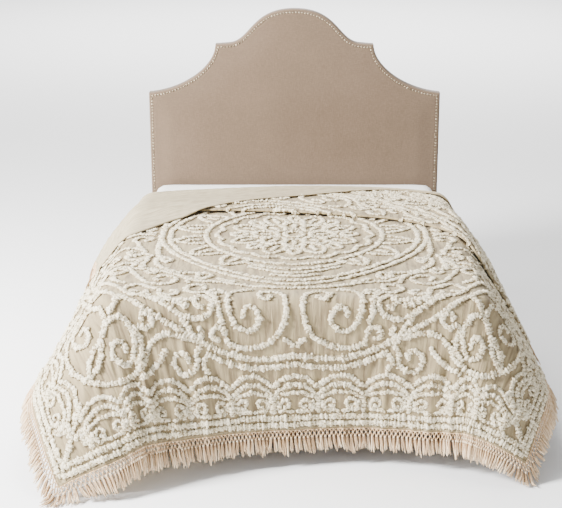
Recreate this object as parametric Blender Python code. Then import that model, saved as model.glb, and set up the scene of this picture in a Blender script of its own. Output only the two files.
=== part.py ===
"""Chenille bedspread with a knotted fringe, spread over a plain queen bed and folded back at the head.

Metres, +Z up, +X to the right seen from the foot, +Y towards the headboard.
Lengths along the bed are measured from the mattress's foot end, and an empty puts that end in place,
so that the origin is under the middle of the whole.
"""

import math

import bmesh
import bpy
import numpy as np

# Bed
MATTRESS_WIDTH = 1.53
MATTRESS_LENGTH = 2.03
MATTRESS_HEIGHT = 0.28
MATTRESS_EDGE = 0.045
MATTRESS_CORNER = 0.07
BED_TOP = 0.70
BASE_WIDTH = 1.50
BASE_HEIGHT = 0.22
BASE_SET_BACK = 0.02
BASE_CORNER = 0.03
CORNER_LINES = 6  # mesh lines round the upright edges of a box, and round its other edges
EDGE_LINES = 4
BASE_EDGE = 0.008
LEG_TOP_RADIUS = 0.034
LEG_FOOT_RADIUS = 0.024
LEG_INSET = 0.12
LEG_SIDES = 24
GAP = 0.0003  # clearance between pieces that rest on each other

# Headboard
HEADBOARD_WIDTH = 1.60
HEADBOARD_THICKNESS = 0.08
HEADBOARD_GAP = 0.02  # from the mattress to the headboard
HEADBOARD_BOTTOM = 0.26
HEADBOARD_EDGE = 0.012
HEADBOARD_EDGE_LINES = 3
STRUT_WIDTH = 0.07
STRUT_THICKNESS = 0.035
STRUT_HEIGHT = 0.95
STRUT_SPACING = 1.10
STRUT_CORNER = 0.004
STRUT_EDGE = 0.002
# Right half of the top edge, from the shoulder to the peak: Bezier stretches of (x, z), then their mesh lines
HEADBOARD_TOP = (
    ((0.800, 1.200), (0.620, 1.215), (0.440, 1.330), (0.430, 1.465)),
    ((0.430, 1.465), (0.407, 1.466), (0.383, 1.468), (0.360, 1.470)),
    ((0.360, 1.470), (0.240, 1.475), (0.240, 1.655), (0.000, 1.655)),
)
HEADBOARD_TOP_LINES = (10, 1, 12)

# Bedspread, as cut
CLOTH_WIDTH = 2.60
CLOTH_LENGTH = 3.00
CLOTH_THICKNESS = 0.007  # ground cloth and pile together
LAYER_PITCH = 0.011
FOOT_DROP = 0.56
SIDE_DROP = (CLOTH_WIDTH - MATTRESS_WIDTH) / 2
FRINGE_HEADING = 0.025
FRINGE_LENGTH = 0.09
FRINGE_THICKNESS = 0.004
SEAM_GAP = 0.0008  # from the hem to the fringe's heading
TOOTH_PITCH = 0.09
TOOTH_GAP = 0.014
MITRE_LENGTH = 0.10  # the teeth fan out this near to a corner of the cloth
MITRE_START = 0.002
MITRE_FILL = 0.96
FLOOR_CLEARANCE = 0.006

# How the skirt hangs. The cloth leaves the mattress top at a line this far inside the edge,
# and turns down over ROLL metres of cloth.
EDGE_INSET = 0.03
ROLL = 0.11
CORNER_SPAN = 0.40  # length that each corner counts for in "place"
HALF_WIDTH = MATTRESS_WIDTH / 2 - EDGE_INSET
TURNED = ROLL - EDGE_INSET / 2  # strip beside that line with a closer mesh
SOFTENED = 0.14  # bends in the skirt are spread over this much cloth to each side
SOFTENED_BELOW = 0.30  # fully from this far down it
# (share of that reach, weight)
SOFTENING = ((-1.0, 0.14), (-0.5, 0.22), (0.0, 0.28), (0.5, 0.22), (1.0, 0.14))
SKIRT = np.array(
    # place: metres round the skirt from the middle of the foot, + to the right
    # turn:  way it hangs, 0 straight off the foot, 90 straight off the side
    # upper, lower: its fall in degrees near the mattress and at the hem
    # give:  share of its length gained on the bias, or lost in small gathers
    # place   turn  upper  lower  give
    [
        (-3.20, 92, 78, 88, 0.00),
        (-2.60, 92, 50, 84, 0.00),
        (-2.20, 90, 46, 78, 0.00),
        (-1.80, 88, 50, 66, 0.00),
        (-1.42, 84, 53, 58, 0.00),
        (-1.165, 78, 52, 56, 0.00),
        (-1.065, 56, 52, 59, 0.00),
        (-1.01, 38, 52, 60, 0.00),
        (-0.965, 28, 52, 62, 0.00),
        (-0.93, 12, 53, 64, 0.03),
        (-0.895, -4, 54, 65, 0.06),
        (-0.83, -18, 56, 66, 0.09),
        (-0.765, -24, 60, 68, 0.09),
        (-0.55, -22, 68, 74, 0.05),
        (-0.30, -16, 78, 79, 0.01),
        (0.00, 0, 82, 84, 0.00),
        (0.30, -8, 83, 87, -0.01),
        (0.55, -12, 80, 82, 0.00),
        (0.765, -12, 72, 76, 0.00),
        (0.855, -2, 67, 73, -0.04),
        (0.915, 18, 63, 70, -0.09),
        (0.965, 34, 60, 67, -0.11),
        (1.015, 58, 57, 68, -0.10),
        (1.085, 68, 54, 66, -0.05),
        (1.165, 78, 54, 63, -0.02),
        (1.42, 82, 55, 59, 0.00),
        (1.80, 86, 54, 64, 0.00),
        (2.20, 90, 51, 78, 0.00),
        (2.60, 92, 54, 84, 0.00),
        (3.20, 92, 78, 88, 0.00),
    ]
)
# Main folds of the skirt: soft ridges (+) and troughs (-) that deepen towards the hem.
FOLDS = np.array(
    # place  half_width  depth  starts (share of the drop)
    [
        (-0.66, 0.050, 0.018, 0.20),
        (-0.56, 0.040, -0.016, 0.20),
        (-0.44, 0.050, 0.014, 0.30),
        (0.62, 0.050, 0.010, 0.30),
        (0.72, 0.040, -0.012, 0.30),
    ]
)
# Lines across the bed where the cloth turns back, as distances up the bed.
# across: place across the cloth; hidden: fold under the tuck; near: the edge that shows;
# far: fold towards the headboard; hem: the head end of the cloth, lying face down
TURNS = np.array(
    # across  hidden  near   far   hem
    [
        (-1.30, 1.33, 1.26, 1.56, 0.80),
        (-0.95, 1.37, 1.30, 1.68, 0.84),
        (-0.77, 1.40, 1.33, 1.74, 0.92),
        (-0.60, 1.42, 1.34, 1.79, 1.17),
        (-0.40, 1.44, 1.35, 1.83, 1.38),
        (0.00, 1.46, 1.31, 1.89, 1.63),
        (0.30, 1.47, 1.24, 1.88, 1.78),
        (0.50, 1.44, 1.17, 1.85, 1.81),
        (0.70, 1.34, 1.00, 1.78, 1.74),
        (0.85, 1.20, 0.76, 1.70, 1.66),
        (1.30, 1.04, 0.60, 1.55, 1.51),
    ]
)
# How far down the sides the folded layers reach, as a share of the full drop.
PULL_LEFT = (1.0, 1.0, 0.75, 0.45)  # at the hidden fold, near edge, far fold and head hem
PULL_RIGHT = (1.0, 1.0, 0.90, 0.80)
TUCKED_LAYERS = 2  # these end at the hidden fold, and behind it the upper layers come down onto the mattress
SAG_START = 0.02
SAG_LENGTH = 0.28
FLAP_START = 0.03  # past the near edge the head end of the cloth comes down onto the lowest layer
FLAP_LENGTH = 0.18

# Mesh of the sheet: legs of the back-and-forth section from the foot hem to the head hem, with their cells
LEGS = (
    ("skirt", 8),
    ("roll", 3),
    ("top", 5),
    ("turn_hidden", 3),
    ("second", 2),
    ("turn_near", 3),
    ("third", 7),
    ("turn_far", 3),
    ("fourth", 10),
)
CELLS_ON_TOP = 16
CELLS_IN_ROLL = 4
CELLS_ON_SIDE = 6
PROFILE_STEPS = 24
NEARBY = 0.002  # reach of the slopes that the thickness is set square to

# How far the whole reaches from the middle line and from the mattress's foot end
LEFT_REACH = 1.148
RIGHT_REACH = 1.125
FRONT_REACH = 0.496
BACK_REACH = MATTRESS_LENGTH + HEADBOARD_GAP + HEADBOARD_THICKNESS + STRUT_THICKNESS
MIDDLE_X = (LEFT_REACH - RIGHT_REACH) / 2
FOOT_Y = (FRONT_REACH - BACK_REACH) / 2


def eased(x):
    """0 to 1 with level ends."""
    x = np.clip(x, 0.0, 1.0)
    return x * x * (3 - 2 * x)


def read_track(table, column, place):
    """Smooth curve through one column of a table, against its first column."""
    x, y = table[:, 0], table[:, column]
    slope = np.gradient(y, x)
    place = np.clip(place, x[0], x[-1])
    k = np.clip(np.searchsorted(x, place) - 1, 0, len(x) - 2)
    span = x[k + 1] - x[k]
    t = (place - x[k]) / span
    return (
        (1 + 2 * t) * (1 - t) ** 2 * y[k]
        + t * (1 - t) ** 2 * span * slope[k]
        + t * t * (3 - 2 * t) * y[k + 1]
        + t * t * (t - 1) * span * slope[k + 1]
    )


def hang(across, along):
    """Where the cloth's underside hangs, for a place on the cloth spread flat.

    across runs from the bed's middle line, along from the mattress's foot end; both go on past the edges.
    """
    side = np.where(across < 0, -1.0, 1.0)
    over_side = np.maximum(np.abs(across) - HALF_WIDTH, 0.0)
    over_foot = np.maximum(EDGE_INSET - along, 0.0)
    length = np.hypot(over_side, over_foot)
    bearing = np.arctan2(over_side, over_foot + 1e-12)  # 0 down the foot, 90 degrees down the side
    half = MATTRESS_WIDTH / 2
    place = np.where(
        over_side > 0,
        side * (half + CORNER_SPAN * bearing / (math.pi / 2) + np.maximum(along - EDGE_INSET, 0.0)),
        across * half / HALF_WIDTH,
    )
    drop = np.minimum(
        (SIDE_DROP + EDGE_INSET) / np.maximum(np.sin(bearing), 1e-6),
        (FOOT_DROP + EDGE_INSET) / np.maximum(np.cos(bearing), 1e-6),
    )
    turn = np.radians(read_track(SKIRT, 1, place)) * side
    upper = np.radians(read_track(SKIRT, 2, place))
    lower = np.radians(read_track(SKIRT, 3, place))
    step = length * (1 + read_track(SKIRT, 4, place)) / PROFILE_STEPS
    run = (np.arange(PROFILE_STEPS) + 0.5) / PROFILE_STEPS * length[..., None]
    fall = upper[..., None] * eased(run / ROLL)
    fall += (lower - upper)[..., None] * eased((run - ROLL) / (drop - ROLL)[..., None])
    down = np.cumsum(np.sin(fall), axis=-1) * step[..., None]
    down = np.minimum(down, BED_TOP - FLOOR_CLEARANCE)
    steps_down = np.diff(down, axis=-1, prepend=0.0)
    out = np.sqrt(np.maximum(step[..., None] ** 2 - steps_down**2, 0.0)).sum(axis=-1)
    for at, half_width, depth, starts in FOLDS:
        share = (length / drop - starts) / (1 - starts)
        out = out + depth * np.exp(-(((place - at) / half_width) ** 2)) * eased(share)
    edge_x = np.clip(across, -HALF_WIDTH, HALF_WIDTH)
    edge_y = np.maximum(along, EDGE_INSET)
    return np.stack(
        [
            edge_x + out * np.sin(turn),
            edge_y - out * np.cos(turn),
            BED_TOP + GAP - down[..., -1],
        ],
        axis=-1,
    )


def bed_surface(across, along):
    """The hanging cloth with its bends softened: each place is a mean over a short way round the skirt."""
    across, along = np.broadcast_arrays(np.asarray(across, float), np.asarray(along, float))
    over_side = np.sign(across) * np.maximum(np.abs(across) - HALF_WIDTH, 0.0)
    over_foot = np.maximum(EDGE_INSET - along, 0.0)
    length = np.hypot(over_side, over_foot)
    reach = SOFTENED * eased(length / SOFTENED_BELOW) / np.maximum(length, 1e-9)
    return sum(
        weight * hang(across + share * reach * over_foot, along + share * reach * over_side)
        for share, weight in SOFTENING
    )


def raised(across, along, height):
    """A point this far above the cloth's underside, square to it."""
    by_across = bed_surface(across + NEARBY, along) - bed_surface(across - NEARBY, along)
    by_along = bed_surface(across, along + NEARBY) - bed_surface(across, along - NEARBY)
    normal = np.cross(by_across, by_along)
    normal /= np.linalg.norm(normal, axis=-1, keepdims=True)
    return bed_surface(across, along) + normal * np.asarray(height)[..., None]


def pulled_in(across, stage):
    """Place across the bed of a folded layer: stage 0 hidden fold, 1 near edge, 2 far fold, 3 head hem."""
    stages = range(len(PULL_LEFT))
    share = np.where(across < 0, np.interp(stage, stages, PULL_LEFT), np.interp(stage, stages, PULL_RIGHT))
    side_length = SIDE_DROP + EDGE_INSET
    past_roll = np.clip((np.abs(across) - HALF_WIDTH - TURNED) / (side_length - TURNED), 0.0, 1.0)
    return np.sign(across) * (np.abs(across) - past_roll * side_length * (1 - share))


def section_point(across, leg, share, offset):
    """A point of the folded cloth: this share along one leg, offset towards its patterned side."""
    hidden, near, far, hem = (read_track(TURNS, column, across) for column in range(1, 5))
    middle = CLOTH_THICKNESS / 2
    angle = math.pi * (share - 0.5)

    def layer_height(layer, along):
        settled = TUCKED_LAYERS * eased((along - hidden - SAG_START) / SAG_LENGTH)
        return middle + LAYER_PITCH * (layer - settled)

    if leg == "skirt":
        along = (share - 1) * FOOT_DROP - share * (ROLL - EDGE_INSET)
        return raised(across, along, middle + offset)
    if leg == "roll":
        return raised(across, EDGE_INSET - ROLL * (1 - share) + share * EDGE_INSET, middle + offset)
    if leg == "top":
        return raised(across, 2 * EDGE_INSET + share * (hidden - 2 * EDGE_INSET), middle + offset)
    if leg == "turn_hidden":
        radius = LAYER_PITCH / 2 - offset
        height = middle + LAYER_PITCH / 2 + radius * math.sin(angle)
        return raised(across, hidden + radius * math.cos(angle), height)
    if leg == "second":
        along = hidden + share * (near - hidden)
        return raised(pulled_in(across, share), along, middle + LAYER_PITCH - offset)
    if leg == "turn_near":
        radius = LAYER_PITCH / 2 + offset
        height = middle + 1.5 * LAYER_PITCH + radius * math.sin(angle)
        return raised(pulled_in(across, 1.0), near - radius * math.cos(angle), height)
    if leg == "third":
        along = near + share * (far - near)
        return raised(pulled_in(across, 1.0 + share), along, layer_height(2, along) + offset)
    if leg == "turn_far":
        radius = LAYER_PITCH / 2 - offset
        height = layer_height(2.5, far) + radius * math.sin(angle)
        return raised(pulled_in(across, 2.0), far + radius * math.cos(angle), height)
    along = far + share * (hem - far)
    dropped = TUCKED_LAYERS * LAYER_PITCH * eased((near - along - FLAP_START) / FLAP_LENGTH)
    return raised(pulled_in(across, 2.0 + share), along, layer_height(3, along) - dropped - offset)


def stations_across():
    """Places across the cloth where the sheet has mesh lines, closer where it turns over the edge."""
    turned = HALF_WIDTH + TURNED
    right = [
        np.linspace(0, HALF_WIDTH, CELLS_ON_TOP // 2 + 1),
        np.linspace(HALF_WIDTH, turned, CELLS_IN_ROLL + 1)[1:],
        np.linspace(turned, CLOTH_WIDTH / 2, CELLS_ON_SIDE + 1)[1:],
    ]
    right = np.concatenate(right)
    return np.concatenate([-right[:0:-1], right])


def stations_along():
    """The section's mesh lines as (leg, share) pairs, each leg starting where the last one ended."""
    lines = [("skirt", 0.0)]
    for leg, cells in LEGS:
        lines += [(leg, (i + 1) / cells) for i in range(cells)]
    return lines


def slab(name, upper, lower, present, material):
    """One closed solid between two grids of points, with the cells that aren't present left open."""
    mesh = bmesh.new()
    rows, columns = upper.shape[:2]
    corners = {}

    def vertex(side, i, j):
        if (side, i, j) not in corners:
            corners[side, i, j] = mesh.verts.new((upper, lower)[side][i, j])
        return corners[side, i, j]

    def is_open(i, j):
        return not (0 <= i < rows - 1 and 0 <= j < columns - 1 and present[i, j])

    for i in range(rows - 1):
        for j in range(columns - 1):
            if not present[i, j]:
                continue
            ring = [(i, j), (i, j + 1), (i + 1, j + 1), (i + 1, j)]
            for half in (ring[:3], [ring[0], ring[2], ring[3]]):  # the same diagonal on both sides
                mesh.faces.new([vertex(0, *corner) for corner in half])
                mesh.faces.new([vertex(1, *corner) for corner in reversed(half)])
            beside = [(i - 1, j), (i, j + 1), (i + 1, j), (i, j - 1)]
            for k, neighbour in enumerate(beside):
                if is_open(*neighbour):
                    a, b = ring[k], ring[(k + 1) % 4]
                    mesh.faces.new([vertex(0, *b), vertex(0, *a), vertex(1, *a), vertex(1, *b)])
    return add_object(name, mesh, material, smooth=True)


def comb(name, place, lines, material):
    """A fringe: a solid heading along a hem and wide teeth below it.

    place(line, depth, offset) is the point of the fringe under one mesh line of the hem.
    """
    depths = (SEAM_GAP, FRINGE_HEADING, FRINGE_LENGTH)
    grids = []
    for offset in (FRINGE_THICKNESS / 2, -FRINGE_THICKNESS / 2):
        grids.append(np.array([[place(line, depth, offset) for depth in depths] for line in lines]))
    middle = (grids[0] + grids[1]) / 2
    shares, toothed = [0.0], []
    for k, stretch in enumerate(np.linalg.norm(np.diff(middle[:, 0], axis=0), axis=1)):
        teeth = round(stretch / TOOTH_PITCH)
        for tooth in range(teeth):
            end = (tooth + 1) / teeth
            shares += [k + end - TOOTH_GAP / stretch, k + end]
            toothed += [True, False]
        if teeth == 0:
            shares.append(k + 1)
            toothed.append(True)
    upper, lower = (cut_at(grid, shares) for grid in grids)
    present = np.array([[True, tooth] for tooth in toothed])
    return slab(name, upper, lower, present, material)


def cut_at(grid, shares):
    """Rows of a grid at fractional row numbers, on the straight stretches between its rows."""
    k = np.minimum(np.array(shares).astype(int), len(grid) - 2)
    part = (np.array(shares) - k)[:, None, None]
    return grid[k] * (1 - part) + grid[k + 1] * part


def add_object(name, mesh, material, smooth=False):
    data = bpy.data.meshes.new(name)
    bmesh.ops.recalc_face_normals(mesh, faces=mesh.faces)
    mesh.to_mesh(data)
    mesh.free()
    if smooth:
        data.shade_smooth()
        data.set_sharp_from_angle(angle=math.radians(40))
    data.materials.append(material)
    piece = bpy.data.objects.new(name, data)
    bpy.context.collection.objects.link(piece)
    return piece


def make_material(name, colour, roughness, metallic=0.0):
    material = bpy.data.materials.new(name)
    material.use_nodes = True
    shader = material.node_tree.nodes["Principled BSDF"]
    shader.inputs["Base Color"].default_value = (*colour, 1.0)
    shader.inputs["Roughness"].default_value = roughness
    shader.inputs["Metallic"].default_value = metallic
    return material


def rounded_box(name, size, location, corner_radius, edge_radius, material):
    """A padded or planed box: its upright edges are rounded first, then those round its top and bottom."""
    mesh = bmesh.new()
    bmesh.ops.create_cube(mesh, size=1.0)
    bmesh.ops.scale(mesh, vec=size, verts=mesh.verts)
    upright = [e for e in mesh.edges if abs(e.verts[0].co.z - e.verts[1].co.z) > size[2] / 2]
    round_off = {"profile": 0.5, "affect": "EDGES"}
    bmesh.ops.bevel(mesh, geom=upright, offset=corner_radius, segments=CORNER_LINES, **round_off)
    level = [e for e in mesh.edges if abs(e.calc_face_angle(0.0)) > math.radians(60)]
    bmesh.ops.bevel(mesh, geom=level, offset=edge_radius, segments=EDGE_LINES, **round_off)
    piece = add_object(name, mesh, material, smooth=True)
    piece.location = location
    return piece


def bezier(points, count):
    """Points along one cubic Bezier stretch, without its last point."""
    t = np.linspace(0, 1, count, endpoint=False)[:, None]
    p = np.array(points)
    return (1 - t) ** 3 * p[0] + 3 * t * (1 - t) ** 2 * p[1] + 3 * t * t * (1 - t) * p[2] + t**3 * p[3]


def make_headboard(material):
    """Upholstered panel with an arched, stepped top edge."""
    stretches = [bezier(points, count) for points, count in zip(HEADBOARD_TOP, HEADBOARD_TOP_LINES)]
    right = np.concatenate(stretches)
    peak = [(0.0, HEADBOARD_TOP[-1][-1][1])]
    left = [(-x, z) for x, z in right[::-1]]
    foot = [(-HEADBOARD_WIDTH / 2, HEADBOARD_BOTTOM), (HEADBOARD_WIDTH / 2, HEADBOARD_BOTTOM)]
    outline = foot + [tuple(point) for point in right] + peak + left
    mesh = bmesh.new()
    front = mesh.faces.new([mesh.verts.new((x, 0.0, z)) for x, z in outline])
    back = bmesh.ops.extrude_face_region(mesh, geom=[front])
    moved = [part for part in back["geom"] if isinstance(part, bmesh.types.BMVert)]
    bmesh.ops.translate(mesh, vec=(0, HEADBOARD_THICKNESS, 0), verts=moved)
    piece = add_object("headboard", mesh, material, smooth=True)
    piece.location = (0, MATTRESS_LENGTH + HEADBOARD_GAP, 0)
    padded_edge = piece.modifiers.new("padded edge", "BEVEL")
    padded_edge.width = HEADBOARD_EDGE
    padded_edge.segments = HEADBOARD_EDGE_LINES
    padded_edge.limit_method = "ANGLE"
    padded_edge.angle_limit = math.radians(50)
    return piece


def make_leg(name, location, height, material):
    mesh = bmesh.new()
    bmesh.ops.create_cone(
        mesh,
        cap_ends=True,
        segments=LEG_SIDES,
        radius1=LEG_FOOT_RADIUS,
        radius2=LEG_TOP_RADIUS,
        depth=height,
    )
    bmesh.ops.translate(mesh, vec=(0, 0, height / 2), verts=mesh.verts)
    piece = add_object(name, mesh, material, smooth=True)
    piece.location = location
    return piece


def make_bed():
    """Mattress in its fitted sheet, base, legs, headboard and the two struts that carry it."""
    sheet = make_material("fitted_cotton", (0.86, 0.85, 0.83), 0.9)
    base_cloth = make_material("base_linen", (0.42, 0.36, 0.30), 0.9)
    upholstery = make_material("taupe_upholstery", (0.40, 0.32, 0.27), 0.85)
    timber = make_material("beech", (0.35, 0.22, 0.13), 0.5)
    pieces = []
    mattress_bottom = BED_TOP - MATTRESS_HEIGHT
    pieces.append(
        rounded_box(
            "mattress",
            (MATTRESS_WIDTH, MATTRESS_LENGTH, MATTRESS_HEIGHT),
            (0, MATTRESS_LENGTH / 2, mattress_bottom + MATTRESS_HEIGHT / 2),
            MATTRESS_CORNER,
            MATTRESS_EDGE,
            sheet,
        )
    )
    base_end = MATTRESS_LENGTH + HEADBOARD_GAP - GAP
    base_length = base_end - BASE_SET_BACK
    base_bottom = mattress_bottom - GAP - BASE_HEIGHT
    pieces.append(
        rounded_box(
            "base",
            (BASE_WIDTH, base_length, BASE_HEIGHT),
            (0, BASE_SET_BACK + base_length / 2, base_bottom + BASE_HEIGHT / 2),
            BASE_CORNER,
            BASE_EDGE,
            base_cloth,
        )
    )
    for x, side in ((-1, "left"), (0, "middle"), (1, "right")):
        for y, end in ((BASE_SET_BACK + LEG_INSET, "foot"), (base_end - LEG_INSET, "head")):
            location = (x * (BASE_WIDTH / 2 - LEG_INSET), y, 0)
            pieces.append(make_leg(f"leg_{side}_{end}", location, base_bottom - GAP, timber))
    pieces.append(make_headboard(upholstery))
    strut_y = MATTRESS_LENGTH + HEADBOARD_GAP + HEADBOARD_THICKNESS + GAP + STRUT_THICKNESS / 2
    for x, side in ((-1, "left"), (1, "right")):
        pieces.append(
            rounded_box(
                f"strut_{side}",
                (STRUT_WIDTH, STRUT_THICKNESS, STRUT_HEIGHT),
                (x * STRUT_SPACING / 2, strut_y, STRUT_HEIGHT / 2),
                STRUT_CORNER,
                STRUT_EDGE,
                timber,
            )
        )
    return pieces


def make_bedspread():
    """The spread as one folded sheet, and its fringe in three lengths: left, foot and right."""
    chenille = make_material("chenille_cotton", (0.72, 0.66, 0.55), 0.95)
    yarn = make_material("fringe_cotton", (0.62, 0.46, 0.36), 0.95)
    across = stations_across()
    lines = stations_along()
    faces = []
    for offset in (CLOTH_THICKNESS / 2, -CLOTH_THICKNESS / 2):
        faces.append(np.array([section_point(across, leg, share, offset) for leg, share in lines]))
    present = np.ones((len(lines) - 1, len(across) - 1), bool)
    pieces = [slab("bedspread", faces[0], faces[1], present, chenille)]

    hem = CLOTH_WIDTH / 2
    skirt_length = FOOT_DROP + EDGE_INSET - ROLL

    def fanned(depth, from_corner):
        """How far a tooth leans past the corner of the cloth, so that both lengths meet on its diagonal."""
        return MITRE_FILL * max(depth - MITRE_START, 0.0) * (1 - min(from_corner / MITRE_LENGTH, 1.0))

    for side, name in ((-1, "left"), (1, "right")):

        def beside(line, depth, offset, side=side):
            leg, share = line
            if leg == "skirt":
                share -= fanned(depth, share * skirt_length) / skirt_length
            return section_point(side * (hem + depth), leg, share, offset)

        pieces.append(comb(f"fringe_{name}", beside, lines, yarn))

    def below(x, depth, offset):
        fan = fanned(depth, hem - abs(x))
        return section_point(x + math.copysign(fan, x), "skirt", -depth / skirt_length, offset)

    pieces.append(comb("fringe_foot", below, across, yarn))
    return pieces


def main():
    for old in list(bpy.data.objects):
        bpy.data.objects.remove(old)
    origin = bpy.data.objects.new("bed_origin", None)
    bpy.context.collection.objects.link(origin)
    origin.location = (MIDDLE_X, FOOT_Y, 0)
    for piece in make_bed() + make_bedspread():
        piece.parent = origin


if __name__ == "__main__":
    main()
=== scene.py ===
import math

import bpy
import numpy as np
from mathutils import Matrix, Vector


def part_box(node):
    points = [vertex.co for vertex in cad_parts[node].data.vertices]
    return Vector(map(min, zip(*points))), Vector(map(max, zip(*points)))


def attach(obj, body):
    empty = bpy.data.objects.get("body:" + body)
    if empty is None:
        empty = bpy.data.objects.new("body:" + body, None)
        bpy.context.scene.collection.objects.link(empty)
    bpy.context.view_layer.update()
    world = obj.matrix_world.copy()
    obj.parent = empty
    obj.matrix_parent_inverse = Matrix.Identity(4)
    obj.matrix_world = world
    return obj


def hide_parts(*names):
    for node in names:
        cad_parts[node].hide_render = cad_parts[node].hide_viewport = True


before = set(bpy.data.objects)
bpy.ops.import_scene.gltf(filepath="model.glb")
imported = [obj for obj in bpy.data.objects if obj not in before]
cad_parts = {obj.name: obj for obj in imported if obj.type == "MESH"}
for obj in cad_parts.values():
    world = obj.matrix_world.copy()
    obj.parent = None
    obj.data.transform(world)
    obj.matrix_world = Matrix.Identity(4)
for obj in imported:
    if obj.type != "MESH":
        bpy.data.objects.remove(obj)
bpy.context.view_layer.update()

chance = np.random.default_rng(11)

mattressLow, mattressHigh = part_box("mattress")
middleX = (mattressLow.x + mattressHigh.x) / 2
footY = mattressLow.y
bedTop = mattressHigh.z
mattressHalf = (mattressHigh.x - mattressLow.x) / 2


# how the cloth hangs: from the flat cloth (across, along the bed) to its place on the bed, in metres

cloth = {
    "width": 2.60,
    "length": 3.00,
    "thickness": 0.007,  # ground and pile together, as in the solid
    "pitch": 0.011,  # from one folded layer to the next
    "footDrop": 0.56,
    "edgeInset": 0.03,  # the cloth leaves the mattress top this far inside its edge
    "roll": 0.11,  # and turns down over this much cloth
    "cornerSpan": 0.40,
    "softened": 0.14,
    "softenedBelow": 0.30,
    "gap": 0.0003,
    "floorClearance": 0.006,
    "tuckedLayers": 2,
    "steps": 24,  # the fall of the skirt is added up in this many steps
    "sagStart": 0.02,
    "sagLength": 0.28,
    "flapStart": 0.012,
    "flapLength": 0.115,
}
cloth["halfFlat"] = mattressHalf - cloth["edgeInset"]
cloth["sideDrop"] = cloth["width"] / 2 - mattressHalf
cloth["turned"] = cloth["roll"] - cloth["edgeInset"] / 2

# round the skirt from the middle of the foot: place, turn, upper and lower fall in degrees, give
skirt = np.array([
    (-3.20, 92, 78, 88, 0.00), (-2.60, 92, 50, 84, 0.00), (-2.20, 90, 46, 78, 0.00),
    (-1.80, 88, 50, 66, 0.00), (-1.42, 84, 53, 58, 0.00), (-1.165, 78, 52, 56, 0.00),
    (-1.065, 56, 52, 59, 0.00), (-1.01, 38, 52, 60, 0.00), (-0.965, 28, 52, 62, 0.00),
    (-0.93, 12, 53, 64, 0.03), (-0.895, -4, 54, 65, 0.06), (-0.83, -18, 56, 66, 0.09),
    (-0.765, -24, 60, 68, 0.09), (-0.55, -22, 68, 74, 0.05), (-0.30, -16, 78, 79, 0.01),
    (0.00, 0, 82, 84, 0.00), (0.30, -8, 83, 87, -0.01), (0.55, -12, 80, 82, 0.00),
    (0.765, -12, 72, 76, 0.00), (0.855, -2, 67, 73, -0.04), (0.915, 18, 63, 70, -0.09),
    (0.965, 34, 60, 67, -0.11), (1.015, 58, 57, 68, -0.10), (1.085, 68, 54, 66, -0.05),
    (1.165, 78, 54, 63, -0.02), (1.42, 82, 55, 59, 0.00), (1.80, 86, 54, 64, 0.00),
    (2.20, 90, 51, 78, 0.00), (2.60, 92, 54, 84, 0.00), (3.20, 92, 78, 88, 0.00),
])
# main folds of the skirt: place, half width, depth, start as a share of the drop
mainFolds = np.array([
    (-0.66, 0.050, 0.018, 0.20), (-0.56, 0.040, -0.016, 0.20), (-0.44, 0.050, 0.014, 0.30),
    (0.62, 0.050, 0.010, 0.30), (0.72, 0.040, -0.012, 0.30),
])
# where the cloth turns back, up the bed: across, hidden fold, near edge, far fold, head hem
turnLines = np.array([
    (-1.30, 1.33, 1.26, 1.56, 0.80), (-0.95, 1.37, 1.30, 1.68, 0.84), (-0.77, 1.40, 1.33, 1.74, 0.92),
    (-0.60, 1.42, 1.34, 1.79, 1.17), (-0.40, 1.44, 1.35, 1.83, 1.38), (0.00, 1.46, 1.31, 1.89, 1.63),
    (0.30, 1.47, 1.24, 1.88, 1.78), (0.50, 1.44, 1.17, 1.85, 1.81), (0.70, 1.34, 1.00, 1.78, 1.74),
    (0.85, 1.20, 0.76, 1.70, 1.66), (1.30, 1.04, 0.60, 1.55, 1.51),
])
# how much of each folded layer's side is left hanging, layer by layer
pullLeft = (1.0, 1.0, 0.75, 0.45)
pullRight = (1.0, 1.0, 0.90, 0.80)
# places either side of a point whose falls are mixed, so that the skirt turns its corners softly
softening = ((-1.0, 0.14), (-0.5, 0.22), (0.0, 0.28), (0.5, 0.22), (1.0, 0.14))


def eased(x):
    x = np.clip(x, 0.0, 1.0)
    return x * x * (3 - 2 * x)


def curveThrough(x, y, at):  # smooth curve through points, read at other places
    slope = np.gradient(y, x)
    at = np.clip(at, x[0], x[-1])
    k = np.clip(np.searchsorted(x, at) - 1, 0, len(x) - 2)
    span = x[k + 1] - x[k]
    t = (at - x[k]) / span
    start = (1 + 2 * t) * (1 - t) ** 2 * y[k] + t * (1 - t) ** 2 * span * slope[k]
    return start + t * t * (3 - 2 * t) * y[k + 1] + t * t * (t - 1) * span * slope[k + 1]


def readTable(table, column, at):
    return curveThrough(table[:, 0], table[:, column], at)


def foldsAt(across):  # up the bed: hidden fold, near edge, far fold, head hem
    return [readTable(turnLines, column, across) for column in range(1, 5)]


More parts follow.
